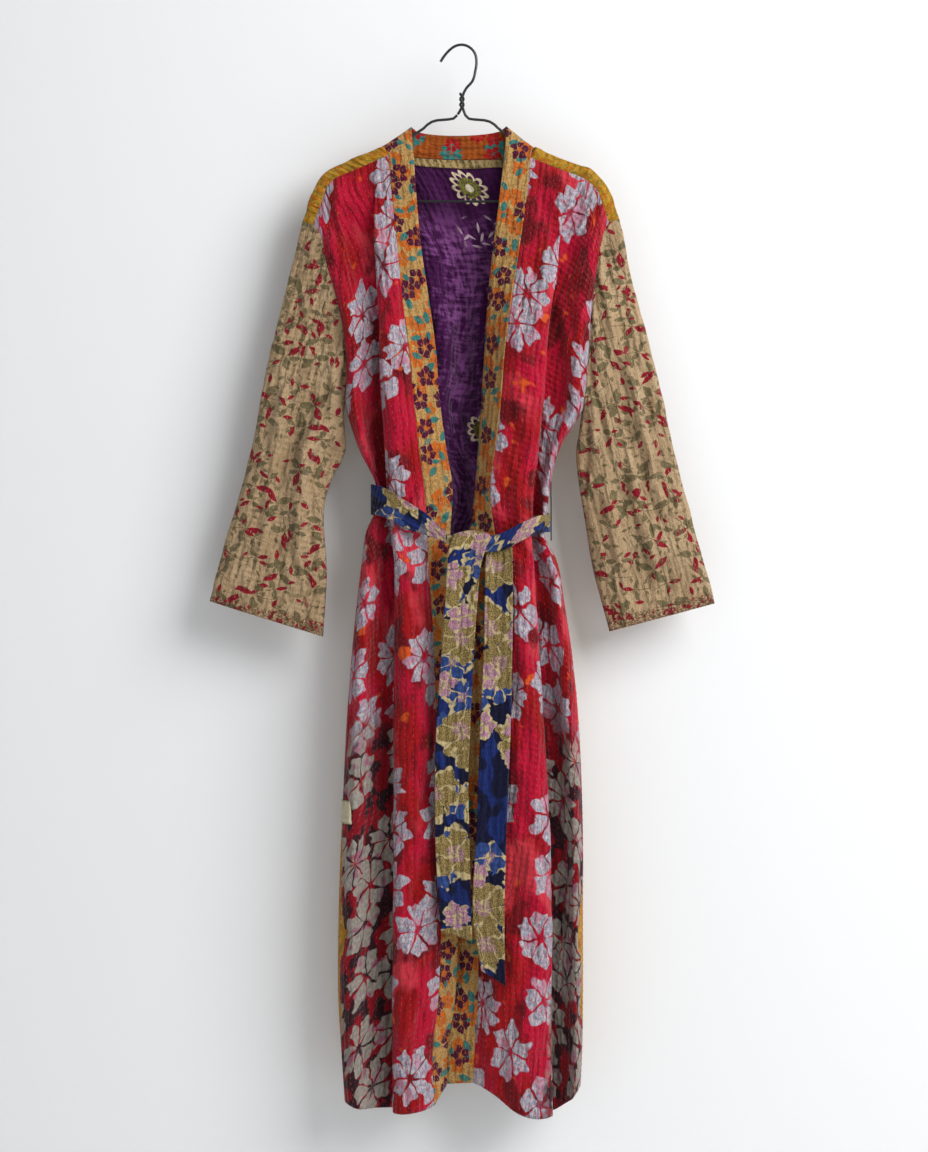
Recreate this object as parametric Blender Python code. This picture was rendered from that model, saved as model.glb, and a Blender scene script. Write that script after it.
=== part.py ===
"""Long quilted kimono on a wire hanger: its cloth pieces, its belt and the hanger, as closed solids.

The origin is the inside of the hook's crown, where the hanger is hung. +Z is up, the front faces -Y and
the wearer's right side is at -X. Sizes are in millimetres, and become metres where a mesh is made.
"""

import math
from collections import namedtuple

import bmesh
import bpy
import numpy as np

for item in list(bpy.data.objects):
    bpy.data.objects.remove(item, do_unlink=True)

MM = 0.001

# Driving sizes
CLOTH = 2.0
BAND = 2.6
SASH = 2.4
BINDING = 1.0
SEAM_GAP = 0.3
SLEEVE_GAP = 0.5
STRIP_GAP = 0.6
WIRE = 3.6
WIRE_UNDER_CREST = 4.7
WIRE_UNDER_COLLAR = 6.2
SHOULDER_STRIP = 15.0
NECK_DEPTH = 14.0
NECK_DROP = 9.0

RIGHT = "right"
LEFT = "left"
OUTWARDS = {RIGHT: -1.0, LEFT: 1.0}

# How finely each piece is divided
SHOULDER_COLUMNS = 8
NECK_COLUMNS = 10
FRONT_COLUMNS = 16
BAND_COLUMNS = 3
ARMHOLE_ROWS = 10
WAIST_ROWS = 11
SKIRT_ROWS = 13
SLEEVE_ROWS = 13
WAIST_SHARE = 0.25
BELT_ROUND_ROWS, BELT_ROUND_COLUMNS = 56, 3
KNOT_ROWS, KNOT_COLUMNS = 14, 6
TAIL_ROWS, TAIL_COLUMNS = 20, 4
LABEL_ROWS, LABEL_COLUMNS = 3, 6
HOOK_STEPS = 30
ARM_STEPS = 16
CORNER_STEPS = 12
LOOP_STEPS = 12
BACK_COLUMNS = 2 * SHOULDER_COLUMNS + NECK_COLUMNS
TOP_MELT = 7

# Across the front at each height: side seam, crease, band seam and the band's free edge, right then left
Across = namedtuple(
    "Across", "z side_right crease_right seam_right edge_right edge_left seam_left crease_left side_left"
)
ACROSS = (
    Across(-138, -196, -124, -100, -63, 58, 95, 126, 194),
    Across(-205, -190, -108, -93, -58, 50, 88, 121, 190),
    Across(-268, -180, -108, -85, -52, 42, 78, 120, 182),
    Across(-335, -164, -108, -77, -42, 35, 67, 117, 173),
    Across(-400, -152, -107, -69, -33, 31, 58, 113, 168),
    Across(-475, -152, -104, -61, -27, 26, 52, 108, 162),
    Across(-533, -134, -100, -55, -19, 22, 45, 101, 130),
    Across(-585, -111, -97, -48, -11, 18, 38, 95, 117),
    Across(-612, -113, -94, -46, -12, 15, 40, 94, 114),
    Across(-640, -125, -90, -44, -14, 11, 44, 93, 109),
    Across(-680, -131, -87, -43, -16, 7, 47, 96, 127),
    Across(-730, -137, -87, -39, -17, 5, 49, 99, 136),
    Across(-862, -149, -88, -33, -14, 1, 48, 108, 153),
    Across(-995, -156, -88, -30, -9, -3, 43, 116, 160),
    Across(-1166, -162, -89, -26, -4, -8, 24, 119, 161),
    Across(-1258, -162, -90, -30, -8, -15, 22, 118, 161),
    Across(-1325, -158, -90, -37, -18, -22, 18, 119, 160),
    Across(-1400, -153, -89, -34, -16, -20, 13, 121, 156),
)

# How far towards the front (minus) or the back each of those lines lies, with the rolls between them
Depth = namedtuple(
    "Depth",
    "z edge_right seam_right roll_right valley_right ridge_right"
    " edge_left seam_left roll_left valley_left ridge_left back_in back_out",
)
DEPTHS = (
    Depth(-138, -12, -10, -10, -9, -9, -12, -10, -10, -9, -9, 9, 11),
    Depth(-205, -14, -17, -17, -13, -14, -12, -16, -17, -13, -14, 10, 14),
    Depth(-268, -15, -22, -26, -15, -21, -12, -22, -25, -15, -20, 11, 21),
    Depth(-335, -16, -27, -34, -16, -28, -8, -29, -34, -16, -27, 12, 28),
    Depth(-400, -17, -31, -40, -16, -32, -6, -33, -40, -16, -29, 12, 34),
    Depth(-475, -18, -34, -43, -16, -33, -6, -34, -43, -16, -29, 12, 37),
    Depth(-533, -18, -34, -42, -16, -28, -6, -34, -42, -16, -25, 12, 36),
    Depth(-585, -18, -32, -39, -16, -22, -6, -31, -39, -16, -22, 12, 32),
    Depth(-640, -14, -29, -39, -16, -24, -6, -27, -39, -16, -21, 12, 32),
    Depth(-680, -11, -25, -43, -16, -29, -4, -24, -41, -16, -25, 12, 35),
    Depth(-730, -10, -24, -46, -16, -34, -4, -24, -44, -16, -30, 12, 38),
    Depth(-862, -10, -22, -48, -16, -37, -5, -24, -47, -16, -34, 12, 41),
    Depth(-1166, -22, -33, -49, -16, -38, -7, -20, -49, -16, -36, 12, 43),
    Depth(-1325, -16, -30, -49, -16, -38, -7, -18, -49, -16, -36, 12, 43),
    Depth(-1400, -15, -30, -47, -16, -36, -7, -18, -49, -16, -36, 12, 41),
)

# The shape across a front: a share of the way from one line to the next, and what its depth is made of
Station = namedtuple("Station", "span share first second blend")
STATIONS = (
    Station("inner", 0.00, "seam", "seam", 0.0),
    Station("inner", 0.32, "seam", "roll", 0.75),
    Station("inner", 0.78, "roll", "roll", 0.0),
    Station("inner", 1.00, "roll", "valley", 0.35),
    Station("tuck", 0.00, "valley", "valley", 0.0),
    Station("outer", 0.25, "valley", "ridge", 0.25),
    Station("outer", 0.62, "ridge", "ridge", 0.0),
    Station("outer", 0.93, "ridge", "side", 0.42),
    Station("outer", 1.00, "side", "side", 0.0),
)
# How far the crease tucks in, where the roll before it is this deep
TUCK = 3.5
TUCK_AT_DEPTH = 30.0

# The folds of the back, as shares of the way across it
BackFold = namedtuple("BackFold", "at_top at_hem half_width height lean")
BACK_FOLDS = (
    BackFold(0.15, 0.12, 0.085, 0.9, -4),
    BackFold(0.31, 0.30, 0.080, 1.0, 3),
    BackFold(0.50, 0.48, 0.090, 0.85, -3),
    BackFold(0.68, 0.69, 0.085, 1.0, -4),
    BackFold(0.86, 0.88, 0.080, 0.9, 4),
)

# The crest of each shoulder, from the neck to the tip, as x and z
CREST = {
    RIGHT: ((-102, -131), (-145, -150), (-176, -164), (-189, -178), (-199, -205), (-209, -231)),
    LEFT: ((97, -134), (135, -149), (172, -164), (192, -183), (201, -205), (209, -228)),
}
# The armhole seam below the shoulder strip, down to the underarm, as x and z
ARMHOLE = {
    RIGHT: ((-185, -250), (-176, -292), (-166, -325), (-156, -369), (-151, -425), (-153, -470)),
    LEFT: ((187, -250), (179, -295), (172, -350), (168, -410), (166, -443), (161, -480)),
}
ARMHOLE_BULGE = 7.0
# The hem of each front, from the band's free edge outwards, as a share across and a height
HEM = {
    RIGHT: ((-0.3, -1366), (0.0, -1391), (0.25, -1398), (0.5, -1399), (0.75, -1397), (1.0, -1389)),
    LEFT: ((-0.3, -1368), (0.0, -1364), (0.2, -1376), (0.4, -1397), (0.6, -1405), (0.78, -1400), (1.0, -1366)),
}
BACK_HEM_RISE = 24.0
# Where the folds of the back begin and end
FOLDS_TOP = -230.0
FOLDS_HEM = -1380.0

# The neckband's free edge where it turns over the shoulder, from the front round to the back
COLLAR_EDGE = {
    RIGHT: ((-63.5, -12, -138), (-65, -8, -119), (-66, -2, -107), (-64, 4.0, -106.5), (-61, 6.8, -108.5)),
    LEFT: ((58.5, -12, -138), (59.5, -8, -119), (60, -2, -106), (58.5, 4.0, -105.8), (55.5, 6.8, -107.5)),
}
COLLAR_SAG = 8.0
COLLAR_BEHIND = 9.5

# The outer and inner edges of each sleeve, from the armhole to the cuff, as x and z
SLEEVE_OUTER = {
    RIGHT: ((-209, -231), (-233, -328), (-257, -425), (-274, -518), (-294, -595), (-318, -677), (-332, -732)),
    LEFT: ((209, -228), (227, -314), (253, -410), (277, -517), (303, -617), (325, -695), (335, -735)),
}
SLEEVE_INNER = {
    RIGHT: ((-153, -470), (-155, -500), (-152, -532), (-172, -576), (-181, -612), (-177, -695), (-182, -779)),
    LEFT: ((161, -480), (156, -508), (152, -537), (155, -573), (164, -628), (173, -684), (196, -772)),
}
SLEEVE_DEPTH = ((0.0, 15.0), (0.4, 15.5), (1.0, 11.0))
SLEEVE_MELT = 0.4
# Long soft folds down the front of a sleeve: a share across it, and where it begins and ends
SleeveFold = namedtuple("SleeveFold", "side at half_width height start end")
SLEEVE_FOLDS = (
    SleeveFold(RIGHT, 0.68, 0.16, 6.0, 0.05, 0.75),
    SleeveFold(RIGHT, 0.30, 0.14, 3.0, 0.30, 1.10),
    SleeveFold(LEFT, 0.26, 0.09, 4.0, -0.05, 0.80),
    SleeveFold(LEFT, 0.46, 0.08, 3.5, 0.00, 0.95),
    SleeveFold(LEFT, 0.74, 0.16, 4.5, 0.10, 0.85),
)

# The belt: the middle of the strip and its width, round the waist from knot to knot
Strip = namedtuple("Strip", "x y z width")
BELT_WAIST = (
    Strip(2, -50, -661, 10),
    Strip(-22, -49.5, -647, 15),
    Strip(-45, -48.5, -632, 28),
    Strip(-72, -46, -619, 36),
    Strip(-101, -36, -603, 38),
    Strip(-116, -16, -599, 40),
    Strip(-119, 2, -598, 40),
    Strip(-113, 22, -599, 38),
    Strip(-90, 36, -601, 38),
    Strip(-45, 38.5, -606, 38),
    Strip(0, 39, -611, 37),
    Strip(45, 38.5, -617, 35),
    Strip(90, 36, -623, 31),
    Strip(112, 22, -627, 27),
    Strip(118, 2, -629, 24),
    Strip(114, -18, -630, 23),
    Strip(100, -36, -632, 22),
    Strip(80, -46, -641, 23),
    Strip(54, -49.5, -654, 23),
    Strip(26, -50.5, -660, 17),
)
BELT_KNOT = (
    Strip(9, -41.5, -662, 32),
    Strip(10, -42.5, -650, 37),
    Strip(12, -47.0, -641.5, 45),
    Strip(14, -54.5, -640, 50),
    Strip(15, -60.0, -644, 50),
    Strip(11, -62.5, -654, 49),
    Strip(7, -61.5, -670, 46),
    Strip(3.5, -59.0, -690, 42.5),
)
BELT_TAIL_RIGHT = (
    Strip(3.4, -59.0, -690.5, 42.5),
    Strip(-3.4, -55.5, -786, 42),
    Strip(-9.5, -54.0, -889, 44),
    Strip(-12.0, -53.5, -960, 43.5),
    Strip(-10.5, -53.5, -1060, 44),
    Strip(-5.7, -53.5, -1166, 40.5),
)
BELT_TAIL_LEFT = (
    Strip(50, -43.8, -656, 34),
    Strip(50, -44.2, -668, 34.5),
    Strip(49.5, -48.5, -695, 36),
    Strip(48.3, -53.0, -786, 37),
    Strip(45, -53.5, -889, 39.5),
    Strip(40, -53.5, -1025, 39),
    Strip(36, -52.5, -1140, 41),
    Strip(42, -52.0, -1221, 31.5),
)
# How far each hanging end is cut aslant, and how its strip is dished
TAIL_SLANT = {RIGHT: 7.0, LEFT: 10.0}
TAIL_DISH = 1.2
BELT_LOOP = (
    (118.9, 2, -574),
    (118.8, 1, -590),
    (119.0, 0, -606),
    (119.05, 0, -628),
    (119.05, 0, -642),
    (119.2, 1, -652),
)
BELT_LOOP_THICK = 1.6

# The hanger: its hook from the tip to the shank, then the shape of an arm and of its end
HOOK = (
    (-27, -20),
    (-22.5, -13),
    (-15, -4.5),
    (-6.5, 1.2),
    (3, 2.4),
    (12, -1.2),
    (18.5, -9),
    (20.5, -20),
    (19, -32),
    (15.5, -45),
    (7, -55),
    (1.2, -62),
)
TWIST = 22.0
TWIST_TURNS = 1.5
TWIST_STEPS = 24
TWIST_RADIUS = 2.05
HANGER_ARM = ((8, -94), (16, -96), (35, -98), (43, -102), (50, -108.5))
HANGER_END = ((180, -178), (185, -187), (184, -196), (177, -202), (164, -204.5))
WIRE_JOINT = 1.4

# The label, in the right side seam
LABEL_TOP = -993.0
LABEL_TALL = 30.0
LABEL_WIDE = 26.0
LABEL_THICK = 0.8
LABEL_CLEAR = 0.6

# The rows of the band's pieced end, and the binding's edges as shares of the back's first row
END_ROWS = 2
BINDING_SPAN = (0.04, 0.26)


def smooth(at, knots, values):
    """A smooth line through the values at the knots, read at one place or many."""
    knots = np.asarray(knots, float)
    values = np.asarray(values, float)
    slopes = np.gradient(values, knots, axis=0)
    at = np.clip(np.asarray(at, float), knots[0], knots[-1])
    low = np.clip(np.searchsorted(knots, at, side="right") - 1, 0, len(knots) - 2)
    span = knots[low + 1] - knots[low]
    share = (at - knots[low]) / span
    if values.ndim > 1:
        share = share[..., None]
        span = span[..., None]
    rise = share * share * (3 - 2 * share)
    start = values[low] * (1 - rise) + values[low + 1] * rise
    bend = share * (1 - share) * ((1 - share) * slopes[low] - share * slopes[low + 1])
    return start + bend * span


def evenly(line, count):
    """The same line, cut into equal lengths."""
    line = np.asarray(line, float)
    along = np.concatenate(([0.0], np.cumsum(np.linalg.norm(np.diff(line, axis=0), axis=1))))
    wanted = np.linspace(0.0, along[-1], count + 1)
    return np.stack([np.interp(wanted, along, line[:, axis]) for axis in range(line.shape[1])], axis=1)


def flow(points, count, fine=16):
    """A smooth line through the points, cut into equal lengths."""
    points = np.asarray(points, float)
    steps = np.linalg.norm(np.diff(points, axis=0), axis=1) ** 0.5
    knots = np.concatenate(([0.0], np.cumsum(steps)))
    dense = smooth(np.linspace(0.0, knots[-1], fine * len(points)), knots, points)
    return evenly(dense, count)


def ease(share):
    """From 0 to 1 with a gentle start and end."""
    share = np.clip(share, 0.0, 1.0)
    return share * share * (3 - 2 * share)


def read(table, column, z):
    """A column of a table of heights, read between its rows."""
    heights = [-row.z for row in table]
    return smooth(-np.asarray(z, float), heights, [getattr(row, column) for row in table])


def unit(vectors):
    return vectors / np.maximum(np.linalg.norm(vectors, axis=-1, keepdims=True), 1e-9)


# The shoulder: the back's cloth comes up behind, turns over the wire and ends a little way down the front
TURN = ((-6.0, 5.4), (-1.8, 4.0), (0.0, 0.0), (-1.8, -4.0), (-SHOULDER_STRIP, -8.0))


def shoulder_turn(side):
    """Points over the shoulder: a row from tip to neck for each station from the back to the front."""
    crest = flow(CREST[side], SHOULDER_COLUMNS)[::-1]
    along = unit(np.gradient(crest, axis=0))
    up = np.stack([-along[:, 1], along[:, 0]], axis=1) * -OUTWARDS[side]
    rows = []
    for rise, depth in TURN:
        spot = crest + up * rise
        rows.append(np.stack([spot[:, 0], np.full(len(spot), depth), spot[:, 1]], axis=1))
    return np.array(rows), crest, up


def armhole(side, top, facing):
    """The armhole seam from the shoulder down to the underarm, in front (-1) or behind (1)."""
    line = flow([(top[0], top[2])] + list(ARMHOLE[side]), ARMHOLE_ROWS)
    share = np.linspace(0.0, 1.0, ARMHOLE_ROWS + 1)
    depth = (abs(top[1]) + ARMHOLE_BULGE * np.sin(math.pi * share)) * np.sqrt(1 - share ** 6)
    return np.stack([line[:, 0], facing * depth, line[:, 1]], axis=1)


def below_underarm():
    """The shares of the way from underarm to hem at which the lower rows lie."""
    waist = np.linspace(0.0, WAIST_SHARE, WAIST_ROWS + 1)
    skirt = np.linspace(WAIST_SHARE, 1.0, SKIRT_ROWS + 1)
    return np.concatenate([waist[1:], skirt[1:]])


def front_line(side, seam_z, end, fine=12):
    """One row across a front, as x, share of the way across, and depth, from the band seam to its end."""
    middle = 0.6 * seam_z + 0.4 * end[2]
    depths = {key: read(DEPTHS, f"{key}_{side}", middle) for key in ("roll", "valley", "ridge")}
    depths["seam"] = read(DEPTHS, f"seam_{side}", seam_z)
    depths["side"] = end[1]
    seam = read(ACROSS, f"seam_{side}", seam_z)
    crease = read(ACROSS, f"crease_{side}", middle)
    tuck = TUCK * (depths["valley"] - depths["roll"]) / TUCK_AT_DEPTH
    starts = {
        "inner": (seam, crease - seam),
        "tuck": (crease - OUTWARDS[side] * tuck, 0.0),
        "outer": (crease, end[0] - crease),
    }
    spots = []
    for station in STATIONS:
        start, span = starts[station.span]
        first, second = depths[station.first], depths[station.second]
        spots.append((start + span * station.share, first + (second - first) * station.blend))
    line = flow(spots, fine * FRONT_COLUMNS)
    share = (line[:, 0] - seam) / (end[0] - seam)
    return np.stack([line[:, 0], line[:, 1], share], axis=1)


def front(side, turn):
    """A front with its band: rows from shoulder to hem, columns from the band's free edge to the side."""
    strip_edge = turn[-1][::-1]
    corner = turn[-1][0]
    edge = armhole(side, corner, -1)
    underarm = edge[-1][2]
    hem_shares, hem_heights = zip(*HEM[side])
    rows = []
    for number in range(ARMHOLE_ROWS + 1):
        share = number / ARMHOLE_ROWS
        seam_z = strip_edge[0][2] + (underarm - strip_edge[0][2]) * share
        line = evenly(front_line(side, seam_z, edge[number]), FRONT_COLUMNS)
        z = seam_z + (edge[number][2] - seam_z) * line[:, 2]
        rows.append(np.stack([line[:, 0], line[:, 1], z], axis=1))
    for share in below_underarm():
        hem = smooth(np.array([0.0, 1.0]), hem_shares, hem_heights)
        seam_z, side_z = underarm + (hem - underarm) * share
        end = (read(ACROSS, f"side_{side}", side_z), 0.0, side_z)
        line = evenly(front_line(side, seam_z, end), FRONT_COLUMNS)
        z = underarm + (smooth(line[:, 2], hem_shares, hem_heights) - underarm) * share
        rows.append(np.stack([line[:, 0], line[:, 1], z], axis=1))
    rows = np.array(rows)
    shoulder = np.empty_like(rows[0])
    shoulder[0::2] = strip_edge
    shoulder[1::2] = (strip_edge[:-1] + strip_edge[1:]) / 2
    shift = shoulder - rows[0]
    for number in range(TOP_MELT):
        rows[number] += shift * (1 - ease(number / TOP_MELT))
    band = []
    for number, row in enumerate(rows):
        seam = row[0]
        if number <= ARMHOLE_ROWS:
            edge_z = seam[2] + (COLLAR_EDGE[side][0][2] - shoulder[0][2]) * (1 - ease(number / 3))
        else:
            share = below_underarm()[number - ARMHOLE_ROWS - 1]
            edge_z = underarm + (hem_heights[0] - underarm) * share
        free = np.array([read(ACROSS, f"edge_{side}", edge_z), read(DEPTHS, f"edge_{side}", edge_z), edge_z])
        if number == 0:
            free = np.array(COLLAR_EDGE[side][0], float)
        band.append([free + (seam - free) * step / BAND_COLUMNS for step in range(BAND_COLUMNS)])
    return np.concatenate([np.array(band), rows], axis=1), edge


def neck_line(start, end, sag, behind):
    """From shoulder to shoulder round the back of the neck."""
    angle = np.linspace(0.0, math.pi, NECK_COLUMNS + 1)
    share = (1 - np.cos(angle)) / 2
    line = start + (end - start) * share[:, None]
    line[:, 1] += behind * np.sin(angle)
    line[:, 2] -= sag * np.sin(angle)
    return line


def back_line(ends, height, hem_rise):
    """One row across the back, with its folds, from the right side to the left."""
    angle = np.linspace(0.0, math.pi, 400)
    across = (1 - np.sign(np.cos(angle)) * np.abs(np.cos(angle)) ** 0.8) / 2
    fullness = np.sin(angle) ** 0.45
    down = np.clip((height - FOLDS_TOP) / (FOLDS_HEM - FOLDS_TOP), 0.0, 1.0)
    wave = np.zeros_like(across)
    lean = np.zeros_like(across)
    for fold in BACK_FOLDS:
        away = (across - fold.at_top - (fold.at_hem - fold.at_top) * down) / fold.half_width
        bump = np.where(np.abs(away) < 1, 0.5 + 0.5 * np.cos(math.pi * away), 0.0) * fold.height
        wave += bump
        lean += bump * fold.lean
    near = read(DEPTHS, "back_in", height)
    far = read(DEPTHS, "back_out", height)
    side = ends[0][1] + (ends[1][1] - ends[0][1]) * across
    x = ends[0][0] + (ends[1][0] - ends[0][0]) * across + lean * (far - near) / 30
    y = side + (near + (far - near) * wave - side) * fullness
    z = ends[0][2] + (ends[1][2] - ends[0][2]) * across + hem_rise * np.sin(angle) ** 0.6
    return evenly(np.stack([x, y, z], axis=1), BACK_COLUMNS)


def back(turns, edges):
    """The back: rows over the shoulders from the front strip, then down to the hem."""
    right, left = turns[RIGHT][0], turns[LEFT][0][::-1]
    neck = neck_line(right[-1], left[0], NECK_DROP, NECK_DEPTH - right[-1][1])
    top = np.concatenate([right, neck[1:-1], left])
    rows = []
    for number in range(ARMHOLE_ROWS + 1):
        ends = (edges[RIGHT][number], edges[LEFT][number])
        rows.append(back_line(ends, (ends[0][2] + ends[1][2]) / 2, 0.0))
    under = (edges[RIGHT][-1][2], edges[LEFT][-1][2])
    hems = (HEM[RIGHT][-1][1], HEM[LEFT][-1][1])
    for share in below_underarm():
        z = [low + (hem - low) * share for low, hem in zip(under, hems)]
        ends = [(read(ACROSS, f"side_{side}", at), 0.0, at) for side, at in zip((RIGHT, LEFT), z)]
        rows.append(back_line(ends, sum(z) / 2, BACK_HEM_RISE * share))
    rows = np.array(rows)
    shift = top - rows[0]
    for number in range(TOP_MELT):
        rows[number] += shift * (1 - ease(number / TOP_MELT))
    over = []
    for station in range(len(TURN) - 1, 0, -1):
        right, left = turns[RIGHT][station], turns[LEFT][station][::-1]
        filler = neck[1:-1] + (neck[1:-1] - rows[1][SHOULDER_COLUMNS + 1:-SHOULDER_COLUMNS - 1]) * 0.1 * station
        filler[0] = 2 * right[-1] - right[-2]
        filler[-1] = 2 * left[0] - left[1]
        over.append(np.concatenate([right, filler, left]))
    return np.concatenate([np.array(over), rows]), neck


def sleeve(side, loop, shares, facing):
    """A sleeve: rows from the armhole to the cuff, columns round it from the underarm by the front."""
    outer = flow(SLEEVE_OUTER[side], SLEEVE_ROWS)
    inner = flow(SLEEVE_INNER[side], SLEEVE_ROWS)
    depth_at, depth = zip(*SLEEVE_DEPTH)
    rows = []
    for number in range(SLEEVE_ROWS + 1):
        down = number / SLEEVE_ROWS
        spot = outer[number] + (inner[number] - outer[number]) * shares[:, None]
        swell = np.sqrt(np.maximum(1 - np.abs(2 * shares - 1) ** 3, 0.0)) * smooth(down, depth_at, depth)
        for fold in SLEEVE_FOLDS:
            if fold.side != side:
                continue
            away = (shares - fold.at) / fold.half_width
            bump = np.where(np.abs(away) < 1, 0.5 + 0.5 * np.cos(math.pi * away), 0.0)
            fade = ease((down - fold.start) / 0.15) * ease((fold.end - down) / 0.2)
            swell = swell + bump * fold.height * fade * (facing < 0)
        rows.append(np.stack([spot[:, 0], facing * swell, spot[:, 1]], axis=1))
    rows = np.array(rows)
    shift = loop - rows[0]
    for number in range(SLEEVE_ROWS + 1):
        rows[number] += shift * (1 - ease(number / SLEEVE_ROWS / SLEEVE_MELT))
    return rows


def armhole_loop(front_edge, turn, back_edge):
    """The whole armhole, from the underarm up the front, over the tip and down the back."""
    tip = turn[:, 0]
    loop = [front_edge[::-1], tip[-2:0:-1], back_edge]
    share = np.linspace(0.0, 1.0, ARMHOLE_ROWS + 1)
    over = np.array([0.02, 0.0, 0.01])
    shares = [(0.06 + 0.94 * share)[::-1], over, 0.03 + 0.97 * share]
    facing = [-np.ones(ARMHOLE_ROWS + 1), np.array([-1.0, 0.0, 1.0]), np.ones(ARMHOLE_ROWS + 1)]
    return np.concatenate(loop), np.concatenate(shares), np.concatenate(facing)


def tail(rows, slant, count, columns):
    """A hanging end of the belt, wide along X, cut off at a slant."""
    line = flow([(row.x, row.y, row.z, row.width) for row in rows], count)
    across = np.linspace(-0.5, 0.5, columns + 1)
    skin = np.empty((count + 1, columns + 1, 3))
    for number, (x, y, z, width) in enumerate(line):
        cut = slant * ease((number / count - 0.8) / 0.2)
        skin[number, :, 0] = x + width * across
        skin[number, :, 1] = y + TAIL_DISH * np.cos(2 * math.pi * across)
        skin[number, :, 2] = z - 2 * cut * across
    return skin


def belt_round(rows, count, columns):
    """The belt round the waist: its width stands upright."""
    line = flow([(row.x, row.y, row.z, row.width) for row in rows], count)
    across = np.linspace(0.5, -0.5, columns + 1)
    skin = np.empty((count + 1, columns + 1, 3))
    for number, (x, y, z, width) in enumerate(line):
        skin[number, :, 0] = x
        skin[number, :, 1] = y
        skin[number, :, 2] = z + width * across
    return skin


def neckband(wholes, turns, neck):
    """The band: rows from the right hem up, round the neck and down to the left hem; the seam is last."""
    free = neck_line(
        np.array(COLLAR_EDGE[RIGHT][-1], float),
        np.array(COLLAR_EDGE[LEFT][-1], float),
        COLLAR_SAG,
        COLLAR_BEHIND - COLLAR_EDGE[RIGHT][-1][1],
    )
    edges = {side: np.array(COLLAR_EDGE[side][1:], float) for side in turns}
    seams = {side: turns[side][-2::-1, -1] for side in turns}
    free = np.concatenate([edges[RIGHT], free[1:-1], edges[LEFT][::-1]])
    seam = np.concatenate([seams[RIGHT], neck[1:-1], seams[LEFT][::-1]])
    share = np.linspace(0.0, 1.0, BAND_COLUMNS + 1)[None, :, None]
    collar = free[:, None] + (seam - free)[:, None] * share
    right, left = (wholes[side][:, :BAND_COLUMNS + 1] for side in (RIGHT, LEFT))
    return np.concatenate([right[::-1], collar, left])


def label():
    """The label: it comes out of the right side seam and lies round the side on the front."""
    hem = HEM[RIGHT][-1][1]
    underarm = ARMHOLE[RIGHT][-1][1]
    rows = []
    for z in np.linspace(LABEL_TOP, LABEL_TOP - LABEL_TALL, LABEL_ROWS + 1):
        seam_z = underarm + (HEM[RIGHT][1][1] - underarm) * (z - underarm) / (hem - underarm)
        line = front_line(RIGHT, seam_z, (read(ACROSS, "side_right", z), 0.0, z))[::-1, :2]
        along = np.concatenate(([0.0], np.cumsum(np.linalg.norm(np.diff(line, axis=0), axis=1))))
        wanted = np.linspace(1.0, LABEL_WIDE, LABEL_COLUMNS + 1)
        spots = np.stack([np.interp(wanted, along, line[:, axis]) for axis in (0, 1)], axis=1)
        ahead = unit(np.gradient(spots, axis=0))
        spots += np.stack([ahead[:, 1], -ahead[:, 0]], axis=1) * LABEL_CLEAR
        rows.append(np.column_stack([spots, np.full(len(spots), z)]))
    return np.array(rows)


def hanger(crests):
    """The hook with its twisted shank, and the frame that the shoulders hang on."""
    axis_x, top = HOOK[-1]
    angle = np.linspace(0.0, 2 * math.pi * TWIST_TURNS, TWIST_STEPS + 1)
    drop = np.linspace(0.0, TWIST, TWIST_STEPS + 1)
    strands = []
    for way in (1, -1):
        x = axis_x + way * TWIST_RADIUS * np.cos(angle)
        y = way * TWIST_RADIUS * np.sin(angle)
        strands.append(np.column_stack([x, y, top - drop]))
    bend = flow(HOOK[:-1] + (tuple(strands[0][0, ::2]),), HOOK_STEPS)
    arms = {}
    for side, strand in ((RIGHT, strands[0]), (LEFT, strands[1])):
        out = OUTWARDS[side]
        crest, up = crests[side]
        drops = np.where(np.arange(len(crest)) >= SHOULDER_COLUMNS - 1, WIRE_UNDER_COLLAR, WIRE_UNDER_CREST)
        under = (crest - up * drops[:, None])[::-1]
        under = under[np.abs(under[:, 0]) < HANGER_END[0][0] - WIRE]
        neck = [(out * x, z) for x, z in HANGER_ARM]
        end = [(out * x, z) for x, z in HANGER_END]
        start = flow([tuple(strand[-1, ::2])] + neck + [tuple(under[0])], ARM_STEPS)
        corner = flow([tuple(under[-1])] + end, CORNER_STEPS)
        path = np.concatenate([start, under[1:-1], corner])
        arms[side] = np.column_stack([path[:, 0], np.zeros(len(path)), path[:, 1]])
    joint = arms[RIGHT][1]
    along = unit(arms[RIGHT][2] - arms[RIGHT][0])
    hook = [(x, 0.0, z) for x, z in bend[:-1]]
    hook = np.concatenate([hook, strands[0], [joint - along * WIRE_JOINT / 2]])
    frame = np.concatenate([strands[1], arms[LEFT][1:], arms[RIGHT][:1:-1], [joint + along * WIRE_JOINT / 2]])
    return hook, frame


def surface_normals(skin, closed=False):
    """The direction that each point of a skin faces, away from the wearer."""
    if closed:
        wrapped = np.concatenate([skin[:, -2:-1], skin, skin[:, 1:2]], axis=1)
        across = np.gradient(wrapped, axis=1)[:, 1:-1]
    else:
        across = np.gradient(skin, axis=1)
    facing = unit(np.cross(across, np.gradient(skin, axis=0)))
    if np.sum(facing[..., 1] * skin[..., 1]) < 0:
        facing = -facing
    return facing


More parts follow.
